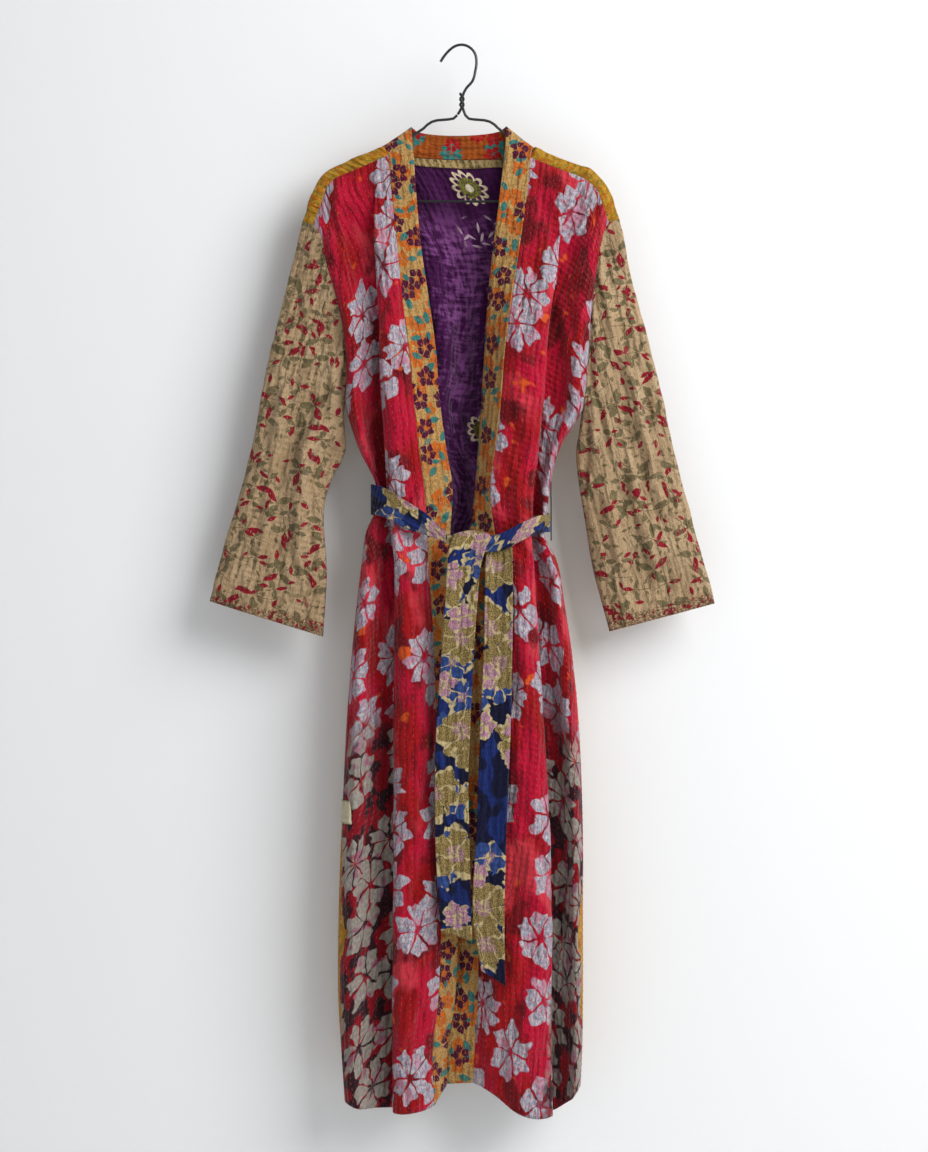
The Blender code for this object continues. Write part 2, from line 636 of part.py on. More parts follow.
def join_normals(skins, normals):
    """Turns the walls of neighbours the same way along a seam, unless they face apart as at an underarm."""
    meeting = {}
    for name, skin in skins.items():
        for spot, facing in zip(skin.reshape(-1, 3), normals[name].reshape(-1, 3)):
            meeting.setdefault(tuple(np.round(spot, 2)), []).append(facing)
    for name, skin in skins.items():
        turned = []
        for spot, facing in zip(skin.reshape(-1, 3), normals[name].reshape(-1, 3)):
            near = [other for other in meeting[tuple(np.round(spot, 2))] if other @ facing > 0]
            turned.append(np.sum(near, axis=0))
        normals[name] = unit(np.array(turned)).reshape(skin.shape)


def finish(name, bm, colour, roughness=0.85, metallic=0.0):
    """Makes an object with its own material from a bmesh."""
    mesh = bpy.data.meshes.new(name)
    bm.to_mesh(mesh)
    bm.free()
    material = bpy.data.materials.new(name)
    material.use_nodes = True
    shader = material.node_tree.nodes["Principled BSDF"]
    shader.inputs["Base Color"].default_value = (*colour, 1.0)
    shader.inputs["Roughness"].default_value = roughness
    shader.inputs["Metallic"].default_value = metallic
    mesh.materials.append(material)
    mesh.shade_smooth()
    mesh.set_sharp_from_angle(angle=math.radians(50))
    item = bpy.data.objects.new(name, mesh)
    PARTS.objects.link(item)
    return item


def wall(name, outer, inner, colour, closed=False, cut_out=None):
    """A cloth wall: a grid bent to the outer skin, with a second skin pulled out of it behind."""
    rows, columns = outer.shape[0] - 1, outer.shape[1] - 1
    bm = bmesh.new()
    bmesh.ops.create_grid(bm, x_segments=columns, y_segments=rows, size=0.5)
    row_of = bm.verts.layers.int.new("row")
    column_of = bm.verts.layers.int.new("column")
    for vert in bm.verts:
        vert[column_of] = round((vert.co.x + 0.5) * columns)
        vert[row_of] = round((vert.co.y + 0.5) * rows)
        vert.co = outer[vert[row_of], vert[column_of]] * MM
    if cut_out:
        gone = [face for face in bm.faces if all(cut_out(v[row_of], v[column_of]) for v in face.verts)]
        bmesh.ops.delete(bm, geom=gone, context="FACES")
    if closed:
        bmesh.ops.remove_doubles(bm, verts=bm.verts, dist=0.01 * MM)
    pulled = bmesh.ops.extrude_face_region(bm, geom=bm.faces[:])
    for vert in pulled["geom"]:
        if isinstance(vert, bmesh.types.BMVert):
            vert.co = inner[vert[row_of], vert[column_of]] * MM
    bmesh.ops.recalc_face_normals(bm, faces=bm.faces)
    return finish(name, bm, colour)


def pull(skin, index, neighbour, gap=SEAM_GAP):
    """Draws the points at one edge of a skin back from its seam."""
    skin[index] += gap * unit(skin[neighbour] - skin[index])


def tube(name, points, thick, colour, roughness, metallic):
    """A round wire or cord along the points."""
    curve = bpy.data.curves.new(name, "CURVE")
    curve.dimensions = "3D"
    curve.bevel_depth = thick / 2 * MM
    curve.bevel_resolution = 2
    curve.use_fill_caps = True
    line = curve.splines.new("POLY")
    line.points.add(len(points) - 1)
    for spot, (x, y, z) in zip(line.points, points):
        spot.co = (x * MM, y * MM, z * MM, 1.0)
    guide = bpy.data.objects.new(name + "_guide", curve)
    PARTS.objects.link(guide)
    mesh = bpy.data.meshes.new_from_object(guide.evaluated_get(bpy.context.evaluated_depsgraph_get()))
    bpy.data.objects.remove(guide, do_unlink=True)
    bm = bmesh.new()
    bm.from_mesh(mesh)
    bpy.data.meshes.remove(mesh)
    bmesh.ops.remove_doubles(bm, verts=bm.verts, dist=0.01 * MM)
    return finish(name, bm, colour, roughness, metallic)


PARTS = bpy.data.collections.new("long_kimono")
bpy.context.scene.collection.children.link(PARTS)

CRIMSON = (0.48, 0.02, 0.04)
MUSTARD = (0.55, 0.27, 0.02)
BEIGE = (0.55, 0.40, 0.24)
OCHRE = (0.50, 0.25, 0.06)
NAVY = (0.06, 0.09, 0.30)
CREAM = (0.62, 0.52, 0.36)
BLACK = (0.015, 0.015, 0.017)

OVER_ROWS = len(TURN) - 1
turns = {}
crests = {}
skins = {}
front_edges = {}
back_edges = {}
wholes = {}
for side in (RIGHT, LEFT):
    turns[side], *crests[side] = shoulder_turn(side)
    wholes[side], front_edges[side] = front(side, turns[side])
    back_edges[side] = armhole(side, turns[side][0][0], 1)
    skins[f"{side}_front"] = wholes[side][:, BAND_COLUMNS:].copy()
    loop = armhole_loop(front_edges[side], turns[side], back_edges[side])
    skins[f"{side}_sleeve"] = sleeve(side, *loop)
skins["back"], neck = back(turns, back_edges)
skins["neckband"] = neckband(wholes, turns, neck)

normals = {name: surface_normals(skin, name.endswith("sleeve")) for name, skin in skins.items()}
join_normals(skins, normals)

for side in (RIGHT, LEFT):
    cloth = skins[f"{side}_front"]
    pull(cloth, 0, 1, STRIP_GAP)
    below = slice(ARMHOLE_ROWS, None)
    pull(cloth, (below, -1), (below, -2))
    skins[f"{side}_sleeve"][0, :, 0] += OUTWARDS[side] * SLEEVE_GAP
pull(skins["neckband"], (slice(None), -1), (slice(None), -2))


def thicken(name, thick):
    """The inner skin of a wall, as far behind its outer skin as the cloth is thick."""
    return skins[name] - normals[name] * thick


def neck_hole(row, column):
    """Whether a point of the back's grid lies in the neck that is cut out of it."""
    return row <= OVER_ROWS and SHOULDER_COLUMNS <= column <= SHOULDER_COLUMNS + NECK_COLUMNS


wall("back", skins["back"], thicken("back", CLOTH), MUSTARD, cut_out=neck_hole)
for side in (RIGHT, LEFT):
    wall(f"{side}_front", skins[f"{side}_front"], thicken(f"{side}_front", CLOTH), CRIMSON)
    wall(f"{side}_sleeve", skins[f"{side}_sleeve"], thicken(f"{side}_sleeve", CLOTH), BEIGE, closed=True)

# The left band's bottom is a separate short strip, and the cream binding covers the neck seam inside
inner_band = thicken("neckband", BAND)
joint = len(inner_band) - 1 - END_ROWS
upper, lower = slice(None, joint + 1), slice(joint, None)
end_strip = skins["neckband"][lower].copy(), inner_band[lower].copy()
for skin in end_strip:
    pull(skin, 0, 1)
wall("neckband", skins["neckband"][upper], inner_band[upper], OCHRE)
wall("neckband_end", *end_strip, OCHRE)

covered = slice(SHOULDER_COLUMNS + 1, SHOULDER_COLUMNS + NECK_COLUMNS)
seam_row, next_row = skins["back"][OVER_ROWS, covered], skins["back"][OVER_ROWS + 1, covered]
face = normals["back"][OVER_ROWS, covered]
binding = np.array([seam_row + (next_row - seam_row) * share for share in BINDING_SPAN])
under = CLOTH + SEAM_GAP
wall("neck_binding", binding - face * (under + BINDING), binding - face * under, CREAM)

flat_pieces = {
    "belt_waist": belt_round(BELT_WAIST, BELT_ROUND_ROWS, BELT_ROUND_COLUMNS),
    "belt_knot": tail(BELT_KNOT, 0.0, KNOT_ROWS, KNOT_COLUMNS),
    "belt_tail_right": tail(BELT_TAIL_RIGHT, TAIL_SLANT[RIGHT], TAIL_ROWS, TAIL_COLUMNS),
    "belt_tail_left": tail(BELT_TAIL_LEFT, TAIL_SLANT[LEFT], TAIL_ROWS, TAIL_COLUMNS),
}
for name, skin in flat_pieces.items():
    wall(name, skin, skin - surface_normals(skin) * SASH, NAVY)
tube("belt_loop", flow(BELT_LOOP, LOOP_STEPS), BELT_LOOP_THICK, NAVY, 0.8, 0.0)

tag = label()
tag_face = surface_normals(tag)
wall("label", tag + tag_face * LABEL_THICK, tag, CREAM)

hook, frame = hanger(crests)
tube("hanger_hook", hook, WIRE, BLACK, 0.4, 0.8)
tube("hanger_frame", frame, WIRE, BLACK, 0.4, 0.8)
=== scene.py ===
"""The looks of the long quilted kimono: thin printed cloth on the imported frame, its stitches, and the room.

Shapes are worked out in millimetres from the same short tables as the solids, and become metres in cloth().
"""

import math
from collections import namedtuple

import bpy
import numpy as np
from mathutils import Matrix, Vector


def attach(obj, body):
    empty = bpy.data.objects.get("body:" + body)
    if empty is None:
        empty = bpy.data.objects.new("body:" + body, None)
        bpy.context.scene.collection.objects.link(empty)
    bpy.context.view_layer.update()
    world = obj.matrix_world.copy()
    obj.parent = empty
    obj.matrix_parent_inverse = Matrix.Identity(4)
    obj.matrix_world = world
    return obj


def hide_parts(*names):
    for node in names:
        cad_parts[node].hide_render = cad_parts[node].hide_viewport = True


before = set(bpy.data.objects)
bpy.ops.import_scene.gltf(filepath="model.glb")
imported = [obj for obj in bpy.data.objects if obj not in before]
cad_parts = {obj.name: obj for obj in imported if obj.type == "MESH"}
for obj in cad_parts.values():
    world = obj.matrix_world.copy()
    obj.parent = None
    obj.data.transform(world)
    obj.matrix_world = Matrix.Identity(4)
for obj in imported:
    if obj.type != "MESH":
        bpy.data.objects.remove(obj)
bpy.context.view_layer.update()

# The fronts: two quilted layers of crimson cotton with pale cut-petal flowers, sewn to the back's shoulder
# strip, the side seams and the neckband. Each hangs in one roll beside the band, a tuck, and a softer fold.
MM = 0.001
QUILT = 1.7
RIGHT = "right"
LEFT = "left"
OUTWARDS = {RIGHT: -1.0, LEFT: 1.0}
SHOULDER_COLUMNS = 34
FRONT_COLUMNS = 2 * SHOULDER_COLUMNS
BAND_COLUMNS = 12
TURN_ROWS = 12
ARMHOLE_ROWS = 56
WAIST_ROWS = 48
SKIRT_ROWS = 120
WAIST_SHARE = 0.25
TOP_MELT = 40
COLLAR_MELT = 17
SHOULDER_STRIP = 15.0
FRONT_CREASE = 1.5
FRONT_CREASE_SEED = {RIGHT: 11, LEFT: 12}
FRONT_STITCH_ROWS = 20
PRINT_START = {RIGHT: 0.83, LEFT: 0.37}
CREASES = 30
CREASE_HEIGHT = 17
CREASE_MELT = 0.02
ROLLED_EDGE = {RIGHT: (-1000.0, -1340.0), LEFT: (-1090.0, -1290.0)}
ROLLED_WIDE = 8.0
ROLLED_WAVER = 0.3
ROLLED_PERIOD = 19.0

# Across the front at each height: side seam, crease, band seam and the band's free edge, right then left
Across = namedtuple(
    "Across", "z side_right crease_right seam_right edge_right edge_left seam_left crease_left side_left"
)
ACROSS = (
    Across(-138, -196, -124, -100, -63, 58, 95, 126, 194),
    Across(-205, -190, -108, -93, -58, 50, 88, 121, 190),
    Across(-268, -180, -108, -85, -52, 42, 78, 120, 182),
    Across(-335, -164, -108, -77, -42, 35, 67, 117, 173),
    Across(-400, -152, -107, -69, -33, 31, 58, 113, 168),
    Across(-475, -152, -104, -61, -27, 26, 52, 108, 162),
    Across(-533, -134, -100, -55, -19, 22, 45, 101, 130),
    Across(-585, -111, -97, -48, -11, 18, 38, 95, 117),
    Across(-612, -113, -94, -46, -12, 15, 40, 94, 114),
    Across(-640, -125, -90, -44, -14, 11, 44, 93, 109),
    Across(-680, -131, -87, -43, -16, 7, 47, 96, 127),
    Across(-730, -137, -87, -39, -17, 5, 49, 99, 136),
    Across(-862, -149, -88, -33, -14, 1, 48, 108, 153),
    Across(-995, -156, -88, -30, -9, -3, 43, 116, 160),
    Across(-1166, -162, -89, -26, -4, -8, 24, 119, 161),
    Across(-1258, -162, -90, -30, -8, -15, 22, 118, 161),
    Across(-1325, -158, -90, -37, -18, -22, 18, 119, 160),
    Across(-1400, -153, -89, -34, -16, -20, 13, 121, 156),
)

# How far towards the front (minus) or the back each of those lines lies, with the rolls between them
Depth = namedtuple(
    "Depth",
    "z edge_right seam_right roll_right valley_right ridge_right"
    " edge_left seam_left roll_left valley_left ridge_left back_in back_out",
)
DEPTHS = (
    Depth(-138, -12, -10, -10, -9, -9, -12, -10, -10, -9, -9, 9, 11),
    Depth(-205, -14, -17, -17, -13, -14, -12, -16, -17, -13, -14, 10, 14),
    Depth(-268, -15, -22, -26, -7, -21, -12, -22, -25, -7, -20, 11, 21),
    Depth(-335, -16, -27, -34, -8, -28, -8, -29, -34, -8, -27, 12, 28),
    Depth(-400, -17, -31, -40, -8, -32, -6, -33, -40, -8, -29, 12, 34),
    Depth(-475, -18, -34, -43, -8, -33, -6, -34, -43, -8, -29, 12, 37),
    Depth(-533, -18, -34, -42, -8, -28, -6, -34, -42, -8, -25, 12, 36),
    Depth(-585, -18, -32, -39, -8, -22, -6, -31, -39, -8, -22, 12, 32),
    Depth(-640, -14, -29, -39, -8, -24, -6, -27, -39, -8, -21, 12, 32),
    Depth(-680, -11, -25, -43, -8, -29, -4, -24, -41, -8, -25, 12, 35),
    Depth(-730, -10, -24, -46, -8, -34, -4, -24, -44, -8, -30, 12, 38),
    Depth(-862, -10, -22, -48, -8, -37, -5, -24, -47, -8, -34, 12, 41),
    Depth(-1166, -22, -33, -49, -8, -38, -7, -20, -49, -8, -36, 12, 43),
    Depth(-1325, -16, -30, -49, -8, -38, -7, -18, -49, -8, -36, 12, 43),
    Depth(-1400, -15, -30, -47, -8, -36, -7, -18, -49, -8, -36, 12, 41),
)

# The shape across a front: a share of the way from one line to the next, and what its depth is made of
Station = namedtuple("Station", "span share first second blend")
STATIONS = (
    Station("inner", 0.00, "seam", "seam", 0.0),
    Station("inner", 0.32, "seam", "roll", 0.75),
    Station("inner", 0.78, "roll", "roll", 0.0),
    Station("inner", 1.00, "roll", "valley", 0.35),
    Station("tuck", 0.00, "valley", "valley", 0.0),
    Station("outer", 0.32, "valley", "ridge", 0.10),
    Station("outer", 0.74, "ridge", "ridge", 0.0),
    Station("outer", 0.95, "ridge", "side", 0.42),
    Station("outer", 1.00, "side", "side", 0.0),
)
TUCK = 13.0
TUCK_AT_DEPTH = 30.0
# How far from its seam towards its end the depths of a row are read
ROW_LEVEL = 0.4

# The crest of each shoulder, from the neck to the tip, as x and z
CREST = {
    RIGHT: ((-102, -131), (-145, -150), (-176, -164), (-189, -178), (-199, -205), (-209, -231)),
    LEFT: ((97, -134), (135, -149), (172, -164), (192, -183), (201, -205), (209, -228)),
}
# The armhole seam below the shoulder strip, down to the underarm, as x and z
ARMHOLE = {
    RIGHT: ((-185, -250), (-176, -292), (-166, -325), (-156, -369), (-151, -425), (-153, -470)),
    LEFT: ((187, -250), (179, -295), (172, -350), (168, -410), (166, -443), (161, -480)),
}
ARMHOLE_BULGE = 7.0
# The hem of each front, from the band's free edge outwards, as a share across and a height
HEM = {
    RIGHT: ((-0.3, -1366), (0.0, -1391), (0.25, -1398), (0.5, -1399), (0.75, -1397), (1.0, -1389)),
    LEFT: (
        (-0.3, -1368), (0.0, -1364), (0.2, -1376), (0.4, -1397), (0.6, -1405), (0.78, -1400), (1.0, -1366),
    ),
}

# The neckband's free edge where it turns over the shoulder, from the front round to the back
COLLAR_EDGE = {
    RIGHT: ((-63.5, -12, -138), (-65, -8, -119), (-66, -2, -107), (-64, 4.0, -106.5), (-61, 6.8, -108.5)),
    LEFT: ((58.5, -12, -138), (59.5, -8, -119), (60, -2, -106), (58.5, 4.0, -105.8), (55.5, 6.8, -107.5)),
}


def smooth(at, knots, values):
    """A smooth line through the values at the knots, read at one place or many."""
    knots = np.asarray(knots, float)
    values = np.asarray(values, float)
    slopes = np.gradient(values, knots, axis=0)
    at = np.clip(np.asarray(at, float), knots[0], knots[-1])
    low = np.clip(np.searchsorted(knots, at, side="right") - 1, 0, len(knots) - 2)
    span = knots[low + 1] - knots[low]
    share = (at - knots[low]) / span
    if values.ndim > 1:
        share = share[..., None]
        span = span[..., None]
    rise = share * share * (3 - 2 * share)
    start = values[low] * (1 - rise) + values[low + 1] * rise
    bend = share * (1 - share) * ((1 - share) * slopes[low] - share * slopes[low + 1])
    return start + bend * span


def evenly(line, count):
    """The same line, cut into equal lengths."""
    line = np.asarray(line, float)
    along = np.concatenate(([0.0], np.cumsum(np.linalg.norm(np.diff(line, axis=0), axis=1))))
    wanted = np.linspace(0.0, along[-1], count + 1)
    return np.stack([np.interp(wanted, along, line[:, axis]) for axis in range(line.shape[1])], axis=1)


def flow(points, count, fine=16):
    """A smooth line through the points, cut into equal lengths."""
    points = np.asarray(points, float)
    steps = np.linalg.norm(np.diff(points, axis=0), axis=1) ** 0.5
    knots = np.concatenate(([0.0], np.cumsum(steps)))
    dense = smooth(np.linspace(0.0, knots[-1], fine * len(points)), knots, points)
    return evenly(dense, count)


def ease(share):
    """From 0 to 1 with a gentle start and end."""
    share = np.clip(share, 0.0, 1.0)
    return share * share * (3 - 2 * share)


def read(table, column, z):
    """A column of a table of heights, read between its rows."""
    heights = [-row.z for row in table]
    return smooth(-np.asarray(z, float), heights, [getattr(row, column) for row in table])


def hump(away):
    """A smooth hump: 1 in the middle, and 0 from 1 away on either side."""
    return np.where(np.abs(away) < 1, 0.5 + 0.5 * np.cos(math.pi * away), 0.0)


def unit(vectors):
    """The same directions, each one long."""
    return vectors / np.maximum(np.linalg.norm(vectors, axis=-1, keepdims=True), 1e-9)


# The shoulder: the back's cloth comes up behind, turns over the wire and ends a little way down the front
TURN = ((-6.0, 5.4), (-1.8, 4.0), (0.0, 0.0), (-1.8, -4.0), (-SHOULDER_STRIP, -8.0))


def stations(knots):
    """The steps over the shoulder, read between the five places that a table gives."""
    return smooth(np.linspace(0.0, 4.0, TURN_ROWS + 1), range(5), knots)


def shoulder_turn(side):
    """Points over the shoulder: a row from tip to neck for each step from the back to the front."""
    crest = flow(CREST[side], SHOULDER_COLUMNS)[::-1]
    along = unit(np.gradient(crest, axis=0))
    up = np.stack([-along[:, 1], along[:, 0]], axis=1) * -OUTWARDS[side]
    rows = []
    for rise, depth in stations(TURN):
        spot = crest + up * rise
        rows.append(np.stack([spot[:, 0], np.full(len(spot), depth), spot[:, 1]], axis=1))
    return np.array(rows)


def armhole(side, top, facing):
    """The armhole seam from the shoulder down to the underarm, in front (-1) or behind (1)."""
    line = flow([(top[0], top[2])] + list(ARMHOLE[side]), ARMHOLE_ROWS)
    share = np.linspace(0.0, 1.0, ARMHOLE_ROWS + 1)
    depth = (abs(top[1]) + ARMHOLE_BULGE * np.sin(math.pi * share)) * np.sqrt(1 - share ** 6)
    return np.stack([line[:, 0], facing * depth, line[:, 1]], axis=1)


def below_underarm():
    """The shares of the way from underarm to hem at which the lower rows lie."""
    waist = np.linspace(0.0, WAIST_SHARE, WAIST_ROWS + 1)
    skirt = np.linspace(WAIST_SHARE, 1.0, SKIRT_ROWS + 1)
    return np.concatenate([waist[1:], skirt[1:]])


def front_line(side, seam_z, end, fine=4):
    """One row across a front, as x, share of the way across, and depth, from the band seam to its end."""
    middle = (1 - ROW_LEVEL) * seam_z + ROW_LEVEL * end[2]
    depths = {key: read(DEPTHS, f"{key}_{side}", middle) for key in ("roll", "valley", "ridge")}
    depths["seam"] = read(DEPTHS, f"seam_{side}", seam_z)
    depths["side"] = end[1]
    seam = read(ACROSS, f"seam_{side}", seam_z)
    crease = read(ACROSS, f"crease_{side}", middle)
    tuck = TUCK * (depths["valley"] - depths["roll"]) / TUCK_AT_DEPTH
    starts = {
        "inner": (seam, crease - seam),
        "tuck": (crease - OUTWARDS[side] * tuck, 0.0),
        "outer": (crease, end[0] - crease),
    }
    spots = []
    for station in STATIONS:
        start, span = starts[station.span]
        first, second = depths[station.first], depths[station.second]
        spots.append((start + span * station.share, first + (second - first) * station.blend))
    line = flow(spots, fine * FRONT_COLUMNS)
    share = (line[:, 0] - seam) / (end[0] - seam)
    return np.stack([line[:, 0], line[:, 1], share], axis=1)


def front(side, turn):
    """A front with its band: rows from shoulder to hem, columns from the band's free edge to the side."""
    strip_edge = turn[-1][::-1]
    corner = turn[-1][0]
    edge = armhole(side, corner, -1)
    underarm = edge[-1][2]
    hem_shares, hem_heights = zip(*HEM[side])
    rows = []
    for number in range(ARMHOLE_ROWS + 1):
        share = number / ARMHOLE_ROWS
        seam_z = strip_edge[0][2] + (underarm - strip_edge[0][2]) * share
        line = evenly(front_line(side, seam_z, edge[number]), FRONT_COLUMNS)
        z = seam_z + (edge[number][2] - seam_z) * line[:, 2]
        rows.append(np.stack([line[:, 0], line[:, 1], z], axis=1))
    for share in below_underarm():
        hem = smooth(np.array([0.0, 1.0]), hem_shares, hem_heights)
        seam_z, side_z = underarm + (hem - underarm) * share
        end = (read(ACROSS, f"side_{side}", side_z), 0.0, side_z)
        line = evenly(front_line(side, seam_z, end), FRONT_COLUMNS)
        z = underarm + (smooth(line[:, 2], hem_shares, hem_heights) - underarm) * share
        rows.append(np.stack([line[:, 0], line[:, 1], z], axis=1))
    rows = np.array(rows)
    shoulder = np.empty_like(rows[0])
    shoulder[0::2] = strip_edge
    shoulder[1::2] = (strip_edge[:-1] + strip_edge[1:]) / 2
    shift = shoulder - rows[0]
    for number in range(TOP_MELT):
        rows[number] += shift * (1 - ease(number / TOP_MELT))
    band = []
    for number, row in enumerate(rows):
        seam = row[0]
        if number <= ARMHOLE_ROWS:
            edge_z = seam[2] + (COLLAR_EDGE[side][0][2] - shoulder[0][2]) * (1 - ease(number / COLLAR_MELT))
        else:
            share = below_underarm()[number - ARMHOLE_ROWS - 1]
            edge_z = underarm + (hem_heights[0] - underarm) * share
        free = np.array([read(ACROSS, f"edge_{side}", edge_z), read(DEPTHS, f"edge_{side}", edge_z), edge_z])
        if number == 0:
            free = np.array(COLLAR_EDGE[side][0], float)
        band.append([free + (seam - free) * step / BAND_COLUMNS for step in range(BAND_COLUMNS)])
    return np.concatenate([np.array(band), rows], axis=1), edge


def surface_normals(skin, closed=False):
    """The direction that each point of a skin faces, away from the wearer."""
    if closed:
        wrapped = np.concatenate([skin[:, -2:-1], skin, skin[:, 1:2]], axis=1)
        across = np.gradient(wrapped, axis=1)[:, 1:-1]
    else:
        across = np.gradient(skin, axis=1)
    facing = unit(np.cross(across, np.gradient(skin, axis=0)))
    if np.sum(facing[..., 1] * skin[..., 1]) < 0:
        facing = -facing
    return facing


seams = {}


def faced(skin, closed=False):
    """The skin's normals; at a seam they are those of the piece made first, unless the two face apart."""
    facing = surface_normals(skin, closed)
    for spot, way in zip(skin.reshape(-1, 3), facing.reshape(-1, 3)):
        met = seams.setdefault(tuple(np.round(spot, 2)), way.copy())
        if met @ way > 0:
            way[:] = met
    return facing


def measured(skin):
    """The place of each point on the flat cut, in metres: across its row, and down its column."""
    across = np.linalg.norm(np.diff(skin, axis=1, prepend=skin[:, :1]), axis=2).cumsum(axis=1)
    down = np.linalg.norm(np.diff(skin, axis=0, prepend=skin[:1]), axis=2).cumsum(axis=0)
    return np.stack([across, down], axis=2) * MM


def crumpled(skin, facing, cut, seed, size):
    """The same skin with soft uneven creases, mostly down the cloth, that die away to its edges and turns."""
    chance = np.random.default_rng(seed)
    u, v = cut[..., 0], cut[..., 1]
    height = np.zeros_like(u)
    for _ in range(CREASES):
        length = chance.uniform(0.012, 0.075)
        slant = chance.normal(0.0, 0.3)
        phase = chance.uniform(0.0, math.tau)
        sway = chance.uniform(0.5, 2.0)
        period = chance.uniform(0.12, 0.4)
        bend = sway * np.sin(math.tau * v / period + phase * 3)
        wave = np.sin(math.tau * (u + slant * v) / length + phase + bend)
        gate = np.clip(0.3 + 0.7 * np.sin(math.tau * (v * 1.7 - u) / period + phase * 5), 0.0, 1.0)
        height += wave * gate * length * CREASE_HEIGHT
    inside = np.minimum(u - u.min(axis=1, keepdims=True), u.max(axis=1, keepdims=True) - u)
    inside = np.minimum(inside, np.minimum(v - v.min(axis=0), v.max(axis=0) - v))
    flat = np.abs(facing[..., 1])
    return skin + facing * (height * size * flat * ease(inside / CREASE_MELT))[..., None]


def cloth(name, skin, facing, thick, paints, cut=None, hole=None, kinds=None, inner_kinds=None):
    """A thin cloth from a grid of points: its outer face, its inner face and the rim between them."""
    cut = measured(skin) if cut is None else cut
    rows, columns = skin.shape[:2]
    numbers = np.arange(rows * columns).reshape(rows, columns)
    corners = np.stack([numbers[:-1, :-1], numbers[:-1, 1:], numbers[1:, 1:], numbers[1:, :-1]], axis=2)
    kept = np.ones(corners.shape[:2], bool) if hole is None else ~hole
    quads = corners[kept]
    outer_kinds = np.zeros(len(quads), int) if kinds is None else kinds[kept]
    inner_kinds = np.ones(len(quads), int) if inner_kinds is None else inner_kinds[kept]
    spots = skin.reshape(-1, 3)
    middle = quads[len(quads) // 2]
    turned = np.cross(spots[middle[1]] - spots[middle[0]], spots[middle[3]] - spots[middle[0]])
    if turned @ facing.reshape(-1, 3)[middle[0]] < 0:
        quads = quads[:, ::-1]
    sides = np.concatenate([quads[:, [i, (i + 1) % 4]] for i in range(4)])
    keys = np.sort(sides, axis=1) @ (rows * columns, 1)
    _, first, count = np.unique(keys, return_index=True, return_counts=True)
    open_sides = sides[first[count == 1]]
    behind = rows * columns
    start, end = open_sides[:, 0], open_sides[:, 1]
    rim = np.stack([end, start, start + behind, end + behind], axis=1)
    faces = np.concatenate([quads, quads[:, ::-1] + behind, rim])
    points = np.concatenate([spots, (skin - facing * thick).reshape(-1, 3)]) * MM
    used, faces = np.unique(faces, return_inverse=True)
    mesh = bpy.data.meshes.new(name)
    mesh.from_pydata(points[used], [], faces.reshape(-1, 4))
    layer = mesh.uv_layers.new(name="cut")
    places = np.concatenate([cut.reshape(-1, 2)] * 2)[used]
    loops = np.zeros(len(mesh.loops), int)
    mesh.loops.foreach_get("vertex_index", loops)
    layer.uv.foreach_set("vector", places[loops].ravel().astype(np.float32))
    kinds = np.concatenate([outer_kinds, inner_kinds, np.zeros(len(rim), int)])
    mesh.polygons.foreach_set("material_index", kinds.astype(np.int32))
    mesh.polygons.foreach_set("use_smooth", np.repeat((True, False), (2 * len(quads), len(rim))))
    for paint in paints:
        mesh.materials.append(paint)
    mesh.update()
    item = bpy.data.objects.new(name, mesh)
    bpy.context.scene.collection.objects.link(item)
    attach(item, "root")
    return item


class Field:
    """A value that a material's nodes work out at each point; sums and products of fields add nodes."""

    def __init__(self, tree, socket):
        self.tree = tree
        self.socket = socket

    def do(self, operation, *others, clamp=False):
        node = self.tree.nodes.new("ShaderNodeMath")
        node.operation = operation
        node.use_clamp = clamp
        for entry, value in zip(node.inputs, (self, *others)):
            put(entry, value)
        return Field(self.tree, node.outputs[0])

    def __add__(self, other):
        return self.do("ADD", other)

    def __sub__(self, other):
        return self.do("SUBTRACT", other)

    def __mul__(self, other):
        return self.do("MULTIPLY", other)

    def __truediv__(self, other):
        return self.do("DIVIDE", other)

    def __rsub__(self, other):
        return self.do("MULTIPLY_ADD", -1.0, other)


def put(entry, value):
    """Gives a node's entry a field, a colour or a number."""
    if isinstance(value, Field):
        entry.id_data.links.new(value.socket, entry)
    elif hasattr(value, "__len__"):
        entry.default_value = (*value, 1.0)
    else:
        entry.default_value = value


def shade(red, green, blue):
    """A colour as a screen shows it, from 0 to 255, in the linear light that nodes work in."""
    return tuple((part / 255) ** 2.2 for part in (red, green, blue))


def mixed(share, first, second):
    """The first colour where the share is 0 and the second where it is 1."""
    node = share.tree.nodes.new("ShaderNodeMix")
    node.data_type = "RGBA"
    put(node.inputs["Factor"], share)
    put(node.inputs[6], first)
    put(node.inputs[7], second)
    return Field(share.tree, node.outputs[2])


def edge(height, soft):
    """1 where the height is over 0, and 0 where it is under, with a soft step between."""
    return height.do("MULTIPLY_ADD", 1.0 / soft, 0.5, clamp=True)


def spread(u, v, u_scale, v_scale):
    """The place on the cloth, scaled each way."""
    node = u.tree.nodes.new("ShaderNodeCombineXYZ")
    put(node.inputs[0], u * u_scale)
    put(node.inputs[1], v * v_scale)
    return Field(u.tree, node.outputs[0])


def cloudy(u, v, u_size, v_size, detail=2.0, seed=0.0):
    """Soft noise from 0 to 1, with patches of about that size in metres."""
    node = u.tree.nodes.new("ShaderNodeTexNoise")
    node.noise_dimensions = "2D"
    put(node.inputs["Vector"], spread(u + seed, v + seed, 1 / u_size, 1 / v_size))
    put(node.inputs["Scale"], 1.0)
    put(node.inputs["Detail"], detail)
    return Field(u.tree, node.outputs["Fac"])


